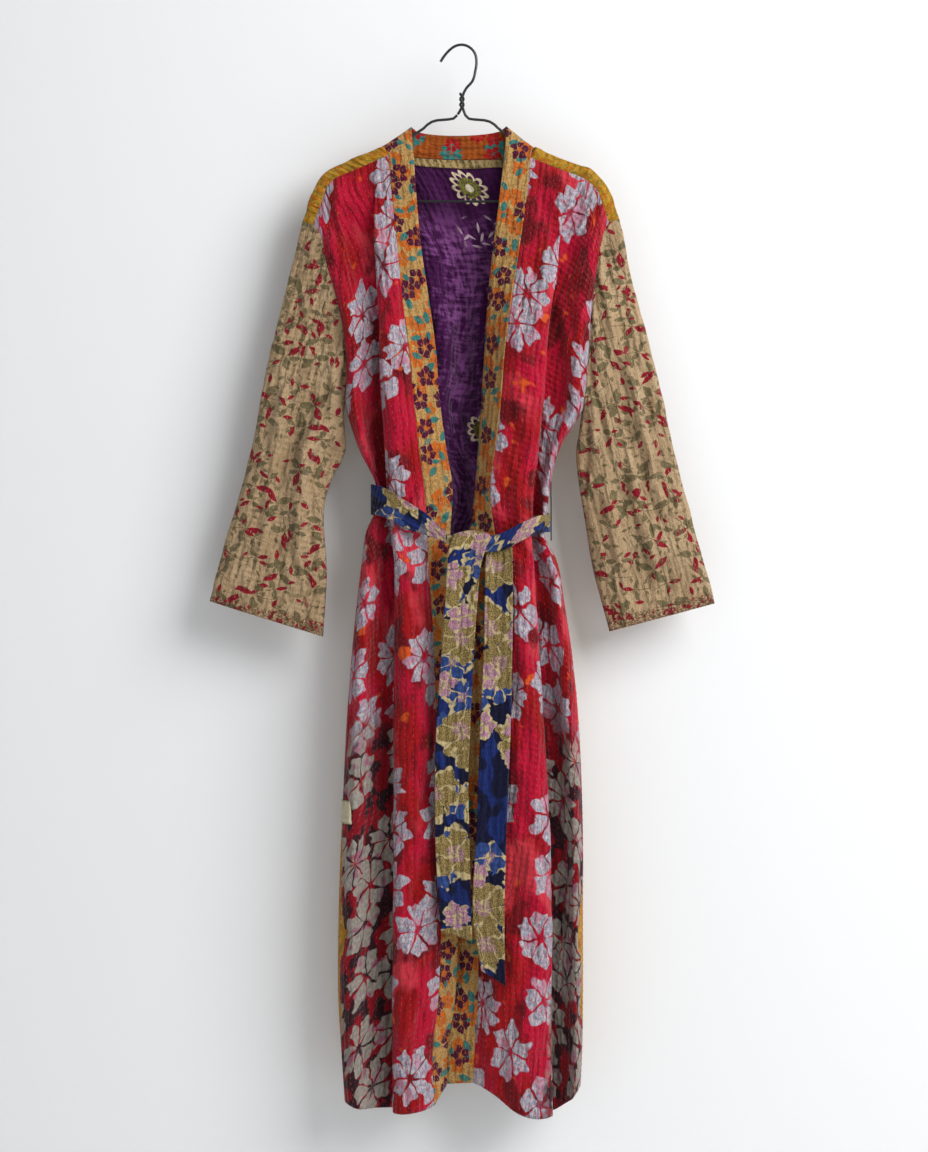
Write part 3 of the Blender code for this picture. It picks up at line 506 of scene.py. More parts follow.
def blotched(u, v, cloth, colour, size, seed, level, soft, amount=1.0, detail=2.0):
    """The cloth with patches of another colour where soft noise rises above the level."""
    share = edge(cloudy(u, v, *size, detail, seed) - level, soft)
    return mixed(share if amount == 1.0 else share * amount, cloth, colour)


def cells(u, v, seed, spacing, jitter=0.8):
    """One uneven cell to each motif: the place from its middle, and three chance numbers."""
    node = u.tree.nodes.new("ShaderNodeTexVoronoi")
    node.voronoi_dimensions = "2D"
    u, v = u + seed, v + seed * 0.7
    put(node.inputs["Vector"], spread(u, v, 1.0, 1.0))
    put(node.inputs["Scale"], 1 / spacing)
    put(node.inputs["Randomness"], jitter)
    middle = u.tree.nodes.new("ShaderNodeSeparateXYZ")
    put(middle.inputs[0], Field(u.tree, node.outputs["Position"]))
    chances = u.tree.nodes.new("ShaderNodeSeparateColor")
    put(chances.inputs[0], Field(u.tree, node.outputs["Color"]))
    across = u - Field(u.tree, middle.outputs[0])
    down = v - Field(u.tree, middle.outputs[1])
    return across, down, [Field(u.tree, output) for output in chances.outputs]


def flowers(u, v, seed, spacing, size, petals, slit, share, extra=3.0, warp=0.14, stretch=1.2):
    """Flowers with parted, torn-looking petals: their mask, and how far out each point is."""
    across, down, (turn, kind, chance) = cells(u, v, seed, spacing)
    across = (across + (cloudy(u, v, size * 0.6, size * 0.6, 1.0, seed) - 0.5) * (size * warp * 2)) * stretch
    down = down + (cloudy(u, v, size * 0.6, size * 0.6, 1.0, seed + 0.5) - 0.5) * (size * warp * 2)
    radius = (across * across + down * down).do("SQRT")
    angle = down.do("ARCTAN2", across) + turn * math.tau
    count = (kind * extra + petals).do("ROUND")
    wave = (angle * count / 2).do("COSINE").do("ABSOLUTE")
    notch = (angle * count * 2 + 1.0).do("COSINE") * 0.06
    reach = (wave.do("POWER", 0.5) * 0.42 + notch + cloudy(u, v, size / 2, size / 2) * 0.4 + 0.34) * size
    petal = edge(reach - radius, size * 0.05)
    cleft = cloudy(u, v, size * 0.4, size * 0.4, 1.0, seed + 0.8) * (slit * 3.2)
    parted = edge(radius * wave * (2 / petals) - cleft + slit * 0.6, size * 0.04)
    return petal * parted * edge(share - chance, 0.01), radius / size


def leaves(u, v, seed, spacing, length, width, share):
    """Pointed leaves, each at its own slant: their mask."""
    across, down, (turn, kind, chance) = cells(u, v, seed, spacing)
    angle = turn * math.tau
    cosine, sine = angle.do("COSINE"), angle.do("SINE")
    size = kind * 0.5 + 0.7
    along = (across * cosine + down * sine) / length / size
    beside = (down * cosine - across * sine).do("ABSOLUTE")
    shape = (1.0 - along * along) * size * width - beside
    return edge(shape, width * 0.15) * edge(share - chance, 0.01)


def quilting(u, v, row=0.0095, stitch=0.008, depth=1.3, crush_depth=4.4, weave_depth=0.16):
    """The relief of the cloth in millimetres: ridges between the stitched rows, puckers, and weave."""
    sway = cloudy(u, v, 0.05, 0.12) * 0.004
    rows = ((u + sway) * (math.tau / row)).do("COSINE")
    pull = (v * (math.tau / stitch)).do("COSINE") * cloudy(u, v, 0.02, 0.02, seed=3.0)
    crush = cloudy(u, v, 0.005, 0.014, 3.0, 1.0)
    weave = cloudy(u, v, 0.0009, 0.0012, 1.0, 2.0)
    return (rows * 0.5 + pull * 0.55) * depth + crush * crush_depth + weave * weave_depth


def cotton(name, colour_of, relief_of=quilting, roughness=0.88, sheen=0.1):
    """A cloth's material: its print and relief are worked out from the place on the cut, in metres."""
    material = bpy.data.materials.new(name)
    material.use_nodes = True
    tree = material.node_tree
    shader = tree.nodes["Principled BSDF"]
    shader.inputs["Roughness"].default_value = roughness
    shader.inputs["Sheen Weight"].default_value = sheen
    shader.inputs["Sheen Roughness"].default_value = 0.5
    shader.inputs["Specular IOR Level"].default_value = 0.2
    cut = tree.nodes.new("ShaderNodeUVMap")
    cut.uv_map = "cut"
    parts = tree.nodes.new("ShaderNodeSeparateXYZ")
    tree.links.new(cut.outputs[0], parts.inputs[0])
    u, v = Field(tree, parts.outputs[0]), Field(tree, parts.outputs[1])
    put(shader.inputs["Base Color"], colour_of(u, v))
    bump = tree.nodes.new("ShaderNodeBump")
    bump.inputs["Strength"].default_value = 1.0
    bump.inputs["Distance"].default_value = MM
    put(bump.inputs["Height"], relief_of(u, v))
    tree.links.new(bump.outputs[0], shader.inputs["Normal"])
    return material


def toned(cloth, tone):
    """The cloth darkened by the tone, which is 1 where nothing changes."""
    node = tone.tree.nodes.new("ShaderNodeMix")
    node.data_type = "RGBA"
    node.blend_type = "MULTIPLY"
    put(node.inputs["Factor"], 1.0)
    put(node.inputs[6], cloth)
    put(node.inputs[7], tone)
    return Field(tone.tree, node.outputs[2])


def painted_crush_shade_and_mottle(u, v, cloth, amount=0.3):
    """The same cloth with painted light and shade of its crush: paler on the ridges of the relief's crush and
    darker between them, mottled at random, and darker overall.
    """
    crush = cloudy(u, v, 0.005, 0.014, 3.0, 1.0)
    fine = cloudy(u, v, 0.0013, 0.002, 2.0, 12.0)
    broad = cloudy(u, v, 0.05, 0.1, 2.0, 13.0)
    # The crush noise is the relief's own, so this tone is painted light on its ridges and painted shade in
    # its hollows; the fine and broad noise are random mottle.
    return toned(cloth, (crush * 0.9 + fine * 0.7 + broad * 0.6) * amount + (0.81 - amount * 1.1))


def crimson_print(u, v, chance):
    """Pale cut-petal flowers on crimson, and a darker, closer print by the side below the belt."""
    u, v, side_u, side_v = u + chance, v + chance, u, v
    ground = blotched(u, v, shade(158, 3, 18), shade(186, 8, 50), (0.06, 0.09), 4.0, 0.5, 0.16)
    ground = blotched(u, v, ground, shade(222, 62, 76), (0.07, 0.12), 5.0, 0.62, 0.08, 0.75)
    ground = blotched(u, v, ground, shade(116, 4, 22), (0.05, 0.07), 6.0, 0.62, 0.08)
    ground = blotched(u, v, ground, shade(228, 92, 30), (0.03, 0.03), 7.0, 0.72, 0.06, 0.8)
    petals, out = flowers(u, v, 1.0, 0.079, 0.038, 5.0, 0.0016, 0.88)
    pale = shade(198, 190, 196)
    pale = blotched(u, v, pale, shade(174, 112, 134), (0.003, 0.009), 8.0, 0.56, 0.06, 0.75, 3.0)
    pale = blotched(u, v, pale, shade(150, 160, 182), (0.005, 0.007), 9.0, 0.52, 0.08, 0.65)
    pale = blotched(u, v, pale, shade(112, 96, 112), (0.0022, 0.003), 10.0, 0.6, 0.06, 0.45, 1.0)
    pale = blotched(u, v, pale, shade(206, 110, 138), (0.02, 0.03), 14.0, 0.6, 0.08, 0.55)
    pale = mixed(edge(0.16 - out, 0.06) * 0.8, pale, shade(140, 20, 60))
    cloth = mixed(petals, ground, pale)
    side = edge(side_u - 0.13 + cloudy(u, v, 0.03, 0.05) * 0.03, 0.012) * edge(side_v - 0.72, 0.06)
    close, _ = flowers(u, v, 21.0, 0.066, 0.036, 5.0, 0.0018, 1.0)
    dark = blotched(u, v, shade(142, 10, 30), shade(56, 24, 32), (0.02, 0.03), 11.0, 0.5, 0.05)
    ash = mixed(cloudy(u, v, 0.003, 0.006), shade(124, 116, 106), shade(186, 178, 168))
    ash = blotched(u, v, ash, shade(160, 104, 124), (0.02, 0.02), 15.0, 0.66, 0.1, detail=1.0)
    close = mixed(close, dark, ash)
    return painted_crush_shade_and_mottle(u, v, mixed(side, cloth, close), 0.36)


def mustard_print(u, v):
    """A small orange and green print on mustard yellow."""
    cloth = blotched(u, v, shade(174, 122, 24), shade(196, 146, 46), (0.012, 0.012), 1.0, 0.5, 0.2)
    dots, _ = flowers(u, v, 2.0, 0.014, 0.0055, 4.0, 0.0006, 0.7)
    cloth = mixed(dots * 0.8, cloth, shade(196, 92, 14))
    cloth = mixed(leaves(u, v, 5.0, 0.011, 0.0045, 0.0014, 0.7) * 0.8, cloth, shade(120, 118, 44))
    cloth = blotched(u, v, cloth, shade(84, 78, 40), (0.0016, 0.0016), 6.0, 0.66, 0.04, 0.6, 1.0)
    return painted_crush_shade_and_mottle(u, v, cloth, 0.35)


def plain_lining(u, v):
    """Plain purple cotton, a little faded, with painted light and shade of its crush."""
    return painted_crush_shade_and_mottle(u, v, mixed(cloudy(u, v, 0.03, 0.3), shade(60, 8, 62), shade(96, 34, 98)), 0.45)


STITCH_STEP = 8.0
STITCH_LONG = 3.6
STITCH_THICK = 0.45
STITCH_SHORTEST = 0.4
STITCH_PROUD = 0.1


def running_stitches():
    """A node tree that sets short straight threads, evenly spaced, along the edges of a mesh."""
    tree = bpy.data.node_groups.new("running_stitches", "GeometryNodeTree")
    face = tree.interface
    face.new_socket("Geometry", in_out="INPUT", socket_type="NodeSocketGeometry")
    for label in ("Step", "Long", "Thick", "Shortest"):
        face.new_socket(label, in_out="INPUT", socket_type="NodeSocketFloat")
    face.new_socket("Seed", in_out="INPUT", socket_type="NodeSocketInt")
    face.new_socket("Thread", in_out="INPUT", socket_type="NodeSocketMaterial")
    face.new_socket("Geometry", in_out="OUTPUT", socket_type="NodeSocketGeometry")
    made = {}
    for key, kind in (
        ("given", "NodeGroupInput"),
        ("rows", "GeometryNodeMeshToCurve"),
        ("places", "GeometryNodeCurveToPoints"),
        ("half", "ShaderNodeMath"),
        ("low", "ShaderNodeCombineXYZ"),
        ("high", "ShaderNodeCombineXYZ"),
        ("back", "ShaderNodeMath"),
        ("line", "GeometryNodeCurvePrimitiveLine"),
        ("radius", "ShaderNodeMath"),
        ("round", "GeometryNodeCurvePrimitiveCircle"),
        ("thread", "GeometryNodeCurveToMesh"),
        ("chance", "FunctionNodeRandomValue"),
        ("size", "ShaderNodeCombineXYZ"),
        ("copies", "GeometryNodeInstanceOnPoints"),
        ("real", "GeometryNodeRealizeInstances"),
        ("paint", "GeometryNodeSetMaterial"),
        ("result", "NodeGroupOutput"),
    ):
        made[key] = tree.nodes.new(kind)
    made["places"].mode = "LENGTH"
    made["size"].inputs["X"].default_value = 1.0
    made["size"].inputs["Y"].default_value = 1.0
    made["round"].inputs["Resolution"].default_value = 4
    for key, factor in (("half", 0.5), ("back", -0.5), ("radius", 0.5)):
        made[key].operation = "MULTIPLY"
        made[key].inputs[1].default_value = factor
    for start, socket, end, entry in (
        ("given", "Geometry", "rows", "Mesh"),
        ("rows", "Curve", "places", "Curve"),
        ("given", "Step", "places", "Length"),
        ("given", "Long", "half", 0),
        ("given", "Long", "back", 0),
        ("half", 0, "high", "Z"),
        ("back", 0, "low", "Z"),
        ("low", 0, "line", "Start"),
        ("high", 0, "line", "End"),
        ("given", "Thick", "radius", 0),
        ("radius", 0, "round", "Radius"),
        ("line", "Curve", "thread", "Curve"),
        ("round", "Curve", "thread", "Profile Curve"),
        ("places", "Points", "copies", "Points"),
        ("places", "Rotation", "copies", "Rotation"),
        ("thread", "Mesh", "copies", "Instance"),
        ("given", "Shortest", "chance", 2),
        ("given", "Seed", "chance", "Seed"),
        ("chance", 1, "size", "Z"),
        ("size", "Vector", "copies", "Scale"),
        ("copies", "Instances", "real", "Geometry"),
        ("real", "Geometry", "paint", "Geometry"),
        ("given", "Thread", "paint", "Material"),
        ("paint", "Geometry", "result", "Geometry"),
    ):
        tree.links.new(made[start].outputs[socket], made[end].inputs[entry])
    return tree


def plain_finish(name, colour, roughness):
    """A material of one colour, for threads, coated wire and the room."""
    material = bpy.data.materials.new(name)
    material.use_nodes = True
    shader = material.node_tree.nodes["Principled BSDF"]
    shader.inputs["Base Color"].default_value = (*colour, 1.0)
    shader.inputs["Roughness"].default_value = roughness
    return material


def stitched(name, face, facing, rows, thread):
    """Rows of running stitches down a cloth's face, as many as told, evenly spread across it."""
    columns = (np.arange(rows) + 0.5) / rows * (face.shape[1] - 1)
    low = columns.astype(int)
    share = (columns - low)[:, None]
    lifted = face + facing * STITCH_PROUD
    lines = lifted[:, low] * (1 - share) + lifted[:, low + 1] * share
    start = np.random.default_rng(rows).uniform(0.0, 1.0, rows)[:, None]
    lines[0] += (lines[1] - lines[0]) * start
    numbers = np.arange(lines.shape[0] * rows).reshape(lines.shape[0], rows)
    ties = np.stack([numbers[:-1], numbers[1:]], axis=2).reshape(-1, 2)
    mesh = bpy.data.meshes.new(name)
    mesh.from_pydata(lines.reshape(-1, 3) * MM, ties, [])
    item = bpy.data.objects.new(name, mesh)
    bpy.context.scene.collection.objects.link(item)
    sewing = item.modifiers.new("stitches", "NODES")
    sewing.node_group = STITCHES
    asked = [entry for entry in STITCHES.interface.items_tree if entry.in_out == "INPUT"]
    entries = {entry.name: entry.identifier for entry in asked}
    for entry, value in (("Step", STITCH_STEP), ("Long", STITCH_LONG), ("Thick", STITCH_THICK)):
        sewing[entries[entry]] = value * MM
    sewing[entries["Shortest"]] = STITCH_SHORTEST
    sewing[entries["Seed"]] = rows
    sewing[entries["Thread"]] = thread
    depsgraph = bpy.context.evaluated_depsgraph_get()
    finished = bpy.data.meshes.new_from_object(item.evaluated_get(depsgraph))
    item.modifiers.remove(sewing)
    item.data = finished
    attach(item, "root")


STITCHES = running_stitches()

front_thread = plain_finish("rose_thread", shade(190, 84, 96), 0.8)
purple = cotton("plain_lining", plain_lining)
turns = {side: shoulder_turn(side) for side in (RIGHT, LEFT)}
wholes = {}
front_edges = {}
front_faces = {}
for side, chance in PRINT_START.items():
    wholes[side], front_edges[side] = front(side, turns[side])
    skin = wholes[side][:, BAND_COLUMNS:]
    facing = faced(skin)
    cut = measured(skin)
    crimson = cotton(f"crimson_cotton_{side}", lambda u, v: crimson_print(u, v, chance))
    mustard_edge = cotton(f"rolled_edge_{side}", mustard_print)
    top, bottom = ROLLED_EDGE[side]
    height = skin[:-1, :-1, 2]
    swell = np.abs(np.sin(math.pi * (height - top) / (top - bottom)))
    wide = ROLLED_WIDE * swell * (1 + ROLLED_WAVER * np.sin(height / ROLLED_PERIOD))
    from_edge = np.abs(skin[:-1, :-1, 0] - skin[:-1, -1:, 0])
    rolled = (height < top) & (height > bottom) & (from_edge < wide)
    face = crumpled(skin, facing, cut, FRONT_CREASE_SEED[side], FRONT_CREASE)
    front_faces[side] = face
    paints = (crimson, purple, mustard_edge)
    item = cloth(f"{side}_front_cloth", face, facing, QUILT, paints, cut, kinds=rolled * 2)
    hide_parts(f"{side}_front")
    stitched(f"{side}_front_stitches", face, facing, FRONT_STITCH_ROWS, front_thread)

# The back: mustard cotton in a small print, quilted to a purple one that shows inside through the neck. Its
# top ends turn over the hanger and show in front as a strip; the neck is cut out, and the hem is turned in.
NECK_COLUMNS = 44
BACK_COLUMNS = 2 * SHOULDER_COLUMNS + NECK_COLUMNS
NECK_DROP = 9.0
NECK_DEPTH = 14.0
BACK_HEM_RISE = 24.0
BACK_CREASE = 1.2
BACK_CREASE_SEED = 31
BACK_STITCH_ROWS = 54
BACK_FINE = 600
SIDE_ROUNDING = 0.8
SIDE_FULLNESS = 0.45
HEM_ROUNDING = 0.6
FOLDS_FROM = 230
FOLDS_LONG = 1150
LEAN_AT_DEPTH = 30
NECK_FLARE = 0.1
HEM_TURN = 18.0
STAR_SIZE = 0.024
STAR_PERIOD = (0.27, 0.326)
STAR_AT = (9.2, -186.8)

# The folds of the back, as shares of the way across it
BackFold = namedtuple("BackFold", "at_top at_hem half_width height lean")
BACK_FOLDS = (
    BackFold(0.15, 0.12, 0.085, 0.9, -4),
    BackFold(0.31, 0.30, 0.080, 1.0, 3),
    BackFold(0.50, 0.48, 0.090, 0.85, -3),
    BackFold(0.68, 0.69, 0.085, 1.0, -4),
    BackFold(0.86, 0.88, 0.080, 0.9, 4),
)


def neck_line(start, end, sag, behind):
    """From shoulder to shoulder round the back of the neck."""
    angle = np.linspace(0.0, math.pi, NECK_COLUMNS + 1)
    share = (1 - np.cos(angle)) / 2
    line = start + (end - start) * share[:, None]
    line[:, 1] += behind * np.sin(angle)
    line[:, 2] -= sag * np.sin(angle)
    return line


def back_line(ends, height, hem_rise):
    """One row across the back, with its folds, from the right side to the left."""
    angle = np.linspace(0.0, math.pi, BACK_FINE)
    across = (1 - np.sign(np.cos(angle)) * np.abs(np.cos(angle)) ** SIDE_ROUNDING) / 2
    fullness = np.sin(angle) ** SIDE_FULLNESS
    down = np.clip((-height - FOLDS_FROM) / FOLDS_LONG, 0.0, 1.0)
    wave = np.zeros_like(across)
    lean = np.zeros_like(across)
    for fold in BACK_FOLDS:
        away = (across - fold.at_top - (fold.at_hem - fold.at_top) * down) / fold.half_width
        bump = hump(away) * fold.height
        wave += bump
        lean += bump * fold.lean
    near = read(DEPTHS, "back_in", height)
    far = read(DEPTHS, "back_out", height)
    side = ends[0][1] + (ends[1][1] - ends[0][1]) * across
    x = ends[0][0] + (ends[1][0] - ends[0][0]) * across + lean * (far - near) / LEAN_AT_DEPTH
    y = side + (near + (far - near) * wave - side) * fullness
    z = ends[0][2] + (ends[1][2] - ends[0][2]) * across + hem_rise * np.sin(angle) ** HEM_ROUNDING
    return evenly(np.stack([x, y, z], axis=1), BACK_COLUMNS)


def back(turns, edges):
    """The back: rows over the shoulders from the front strip, then down to the hem."""
    right, left = turns[RIGHT][0], turns[LEFT][0][::-1]
    neck = neck_line(right[-1], left[0], NECK_DROP, NECK_DEPTH - right[-1][1])
    top = np.concatenate([right, neck[1:-1], left])
    rows = []
    for number in range(ARMHOLE_ROWS + 1):
        ends = (edges[RIGHT][number], edges[LEFT][number])
        rows.append(back_line(ends, (ends[0][2] + ends[1][2]) / 2, 0.0))
    under = (edges[RIGHT][-1][2], edges[LEFT][-1][2])
    hems = (HEM[RIGHT][-1][1], HEM[LEFT][-1][1])
    for share in below_underarm():
        z = [low + (hem - low) * share for low, hem in zip(under, hems)]
        ends = [(read(ACROSS, f"side_{side}", at), 0.0, at) for side, at in zip((RIGHT, LEFT), z)]
        rows.append(back_line(ends, sum(z) / 2, BACK_HEM_RISE * share))
    rows = np.array(rows)
    shift = top - rows[0]
    for number in range(TOP_MELT):
        rows[number] += shift * (1 - ease(number / TOP_MELT))
    flare = neck[1:-1] - rows[1][SHOULDER_COLUMNS + 1:-SHOULDER_COLUMNS - 1]
    over = []
    for station in range(TURN_ROWS, 0, -1):
        right, left = turns[RIGHT][station], turns[LEFT][station][::-1]
        filler = neck[1:-1] + flare * NECK_FLARE * station
        filler[0] = 2 * right[-1] - right[-2]
        filler[-1] = 2 * left[0] - left[1]
        over.append(np.concatenate([right, filler, left]))
    return np.concatenate([np.array(over), rows]), neck


def stars(u, v, middle, period, size):
    """The lining's star flowers, the same way up at even distances: place from each heart, in its size."""
    across = ((u - middle[0]) / period[0] + 0.5).do("FLOORED_MODULO", 1.0) - 0.5
    down = ((v - middle[1]) / period[1] + 0.5).do("FLOORED_MODULO", 1.0) - 0.5
    across = across * (period[0] / size)
    down = down * (period[1] / size)
    return (across * across + down * down).do("SQRT"), down.do("ARCTAN2", across)


def lining_print(u, v):
    """The purple inner face: faded lilac bands, and star flowers outlined in cream."""
    band = cloudy(u, v, 0.035, 0.5, 2.0, 1.0)
    check = cloudy(u, v, 0.006, 0.02, 2.0, 2.0) * 0.5 + cloudy(u, v, 0.02, 0.005, 2.0, 3.0) * 0.5
    patch = cloudy(u, v, 0.05, 0.09, 3.0, 4.0)
    fade = edge(band * 0.6 + patch * 0.5 + check * 1.1 - 1.13, 0.22) * edge(v - 0.09, 0.05)
    cloth = mixed(fade * 0.75, shade(66, 8, 68), shade(146, 84, 148))
    radius, angle = stars(u, v, STAR_MIDDLE, STAR_PERIOD, STAR_SIZE)
    wave = (angle * 6.0).do("COSINE").do("ABSOLUTE")
    reach = wave * 0.26 + 0.74
    outline = edge(reach - radius, 0.05) * edge(radius - reach + 0.2, 0.05)
    cloth = mixed(edge(reach - radius, 0.05), cloth, shade(74, 14, 72))
    grain = cloudy(u, v, 0.003, 0.003, 1.0, 5.0).do("MULTIPLY_ADD", 4.0, -1.2, clamp=True)
    ring = edge(0.6 - radius, 0.05) * grain
    cloth = mixed(ring, cloth, shade(112, 116, 34))
    cloth = mixed(outline, cloth, shade(222, 204, 170))
    cloth = mixed(edge(0.22 - radius, 0.05), cloth, shade(214, 200, 172))
    strokes = leaves(u, v, 31.0, 0.013, 0.008, 0.0018, 0.8)
    place = ((v - STAR_MIDDLE[1]) / STAR_PERIOD[1] + 0.5).do("FLOORED_MODULO", 1.0)
    near = edge(place - 0.62, 0.02) * edge(0.74 - place, 0.02)
    place = ((u - STAR_MIDDLE[0]) / STAR_PERIOD[0] + 0.5).do("FLOORED_MODULO", 1.0)
    beside = edge(0.13 - (place - 0.5).do("ABSOLUTE"), 0.02)
    cloth = mixed(strokes * near * beside, cloth, shade(206, 178, 190))
    return painted_crush_shade_and_mottle(u, v, cloth, 0.45)


back_edges = {side: armhole(side, turns[side][0][0], 1) for side in turns}
skin, neck = back(turns, back_edges)
facing = faced(skin)
cut = measured(skin)
star = np.argmin(np.hypot(skin[..., 0] - STAR_AT[0], skin[..., 2] - STAR_AT[1]))
STAR_MIDDLE = tuple(cut.reshape(-1, 2)[star])
mustard = cotton("mustard_cotton", mustard_print)
lining = cotton("star_lining", lining_print)
row, column = np.indices((len(skin) - 1, BACK_COLUMNS))
hole = (row < TURN_ROWS) & (column >= SHOULDER_COLUMNS) & (column < SHOULDER_COLUMNS + NECK_COLUMNS)
turned_in = skin[:-1, :-1, 2] < skin[-1:, :-1, 2] + HEM_TURN
face = crumpled(skin, facing, cut, BACK_CREASE_SEED, BACK_CREASE)
paints = (mustard, lining, mustard)
item = cloth("back_cloth", face, facing, QUILT, paints, cut, hole, inner_kinds=1 + turned_in)
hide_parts("back")
back_thread = plain_finish("mustard_thread", shade(196, 140, 50), 0.8)
lining_thread = plain_finish("lilac_thread", shade(92, 42, 96), 0.8)
inside = face - facing * QUILT
for name, layer, way, thread in (
    ("back_stitches", face, facing, back_thread),
    ("lining_stitches", inside, -facing, lining_thread),
):
    stitched(name, layer[TURN_ROWS:], way[TURN_ROWS:], BACK_STITCH_ROWS, thread)

# The neck binding: a narrow cream cotton strip with small olive marks. It is sewn over the neck seam inside
# the back, from shoulder to shoulder, and lies flat on the lining.
BINDING = 1.0
BINDING_CLEAR = 0.35
BINDING_TOP = 0.8
BINDING_FOOT = 11.5
BINDING_STEPS = 7
BINDING_SEARCH = 30


def binding_print(u, v):
    """Small olive marks on cream."""
    cloth = mixed(cloudy(u, v, 0.004, 0.004), shade(152, 124, 78), shade(184, 158, 110))
    return painted_crush_shade_and_mottle(u, v, mixed(leaves(u, v, 2.0, 0.006, 0.002, 0.0011, 0.8), cloth, shade(118, 104, 60)), 0.4)


covered = slice(SHOULDER_COLUMNS + 2, SHOULDER_COLUMNS + NECK_COLUMNS - 1)
top_part = slice(TURN_ROWS, TURN_ROWS + BINDING_SEARCH)
below = (cut[top_part, covered, 1] - cut[TURN_ROWS, covered, 1]) / MM
inner = inside[top_part, covered]
binding = np.empty((BINDING_STEPS, inner.shape[1], 3))
for step, down in enumerate(np.linspace(BINDING_TOP, BINDING_FOOT, BINDING_STEPS)):
    for column in range(inner.shape[1]):
        line = inner[:, column]
        binding[step, column] = [np.interp(down, below[:, column], line[:, axis]) for axis in range(3)]
way = -np.broadcast_to(facing[TURN_ROWS, covered], binding.shape)
strip = cotton("binding_cotton", binding_print)
item = cloth("neck_binding_cloth", binding + way * (BINDING_CLEAR + BINDING), way, BINDING, (strip, strip))
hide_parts("neck_binding")

# The sleeves: wide, straight and open, in beige cotton with small red and olive leaves. They hang almost
# flat; a few long soft creases run down them, and each is sewn into its dropped armhole.
SLEEVE_ROWS = 150
SLEEVE_CREASE = 1.1
SLEEVE_CREASE_SEED = {RIGHT: 21, LEFT: 22}
SLEEVE_STITCH_ROWS = 38
CUFF_PRINT = 0.508

# The outer and inner edges of each sleeve, from the armhole to the cuff, as x and z
SLEEVE_OUTER = {
    RIGHT: ((-209, -231), (-233, -328), (-257, -425), (-274, -518), (-294, -595), (-318, -677), (-332, -732)),
    LEFT: ((209, -228), (227, -314), (253, -410), (277, -517), (303, -617), (325, -695), (335, -735)),
}
SLEEVE_INNER = {
    RIGHT: ((-153, -470), (-155, -500), (-152, -532), (-172, -576), (-181, -612), (-177, -695), (-182, -779)),
    LEFT: ((161, -480), (156, -508), (152, -537), (155, -573), (164, -628), (173, -684), (196, -772)),
}
SLEEVE_DEPTH = ((0.0, 15.0), (0.4, 15.5), (1.0, 11.0))
SLEEVE_MELT = 0.4
# The shares across the sleeve at which it turns over the shoulder's tip, from the front to the back
TIP_SHARES = (0.06, 0.02, 0.0, 0.01, 0.03)
# Long soft folds down the front of a sleeve: a share across it, and where it begins and ends
SleeveFold = namedtuple("SleeveFold", "side at half_width height start end")
SLEEVE_FOLDS = (
    SleeveFold(RIGHT, 0.68, 0.14, 11.0, 0.05, 0.85),
    SleeveFold(RIGHT, 0.30, 0.14, 5.0, 0.30, 1.10),
    SleeveFold(LEFT, 0.26, 0.08, 6.0, -0.05, 0.80),
    SleeveFold(LEFT, 0.46, 0.07, 5.5, 0.00, 0.95),
    SleeveFold(LEFT, 0.74, 0.12, 7.0, 0.10, 0.85),
)


def sleeve(side, loop, shares, facing):
    """A sleeve: rows from the armhole to the cuff, columns round it from the underarm by the front."""
    outer = flow(SLEEVE_OUTER[side], SLEEVE_ROWS)
    inner = flow(SLEEVE_INNER[side], SLEEVE_ROWS)
    depth_at, depth = zip(*SLEEVE_DEPTH)
    rows = []
    for number in range(SLEEVE_ROWS + 1):
        down = number / SLEEVE_ROWS
        spot = outer[number] + (inner[number] - outer[number]) * shares[:, None]
        swell = np.sqrt(np.maximum(1 - np.abs(2 * shares - 1) ** 3, 0.0)) * smooth(down, depth_at, depth)
        for fold in SLEEVE_FOLDS:
            if fold.side != side:
                continue
            away = (shares - fold.at) / fold.half_width
            fade = ease((down - fold.start) / 0.15) * ease((fold.end - down) / 0.2)
            swell = swell + hump(away) * fold.height * fade * (facing < 0)
        rows.append(np.stack([spot[:, 0], facing * swell, spot[:, 1]], axis=1))
    rows = np.array(rows)
    shift = loop - rows[0]
    for number in range(SLEEVE_ROWS + 1):
        rows[number] += shift * (1 - ease(number / SLEEVE_ROWS / SLEEVE_MELT))
    return rows


def armhole_loop(front_edge, turn, back_edge):
    """The whole armhole, from the underarm up the front, over the tip and down the back."""
    tip = turn[:, 0]
    loop = [front_edge[::-1], tip[-2:0:-1], back_edge]
    share = np.linspace(0.0, 1.0, ARMHOLE_ROWS + 1)
    along = np.linspace(0.0, 1.0, TURN_ROWS + 1)[1:-1]
    over = np.interp(along, (0.0, 0.25, 0.5, 0.75, 1.0), TIP_SHARES)
    before, after = TIP_SHARES[0], TIP_SHARES[-1]
    shares = [(before + (1 - before) * share)[::-1], over, after + (1 - after) * share]
    forward = np.ones(ARMHOLE_ROWS + 1)
    facing = [-forward, np.interp(along, (0.25, 0.75), (-1.0, 1.0)), forward]
    return np.concatenate(loop), np.concatenate(shares), np.concatenate(facing)


def opened(skin, fold):
    """The sleeve's flat places in metres: laid open along its outer fold, with the back half turned over."""
    start, end = skin[0, fold, ::2], skin[-1, fold, ::2]
    down = unit(end - start)
    out = np.array([down[1], -down[0]])
    place = skin[..., ::2] - start
    across = place @ out
    across[:, fold + 1:] *= -1
    return np.stack([across, place @ down], axis=2) * MM


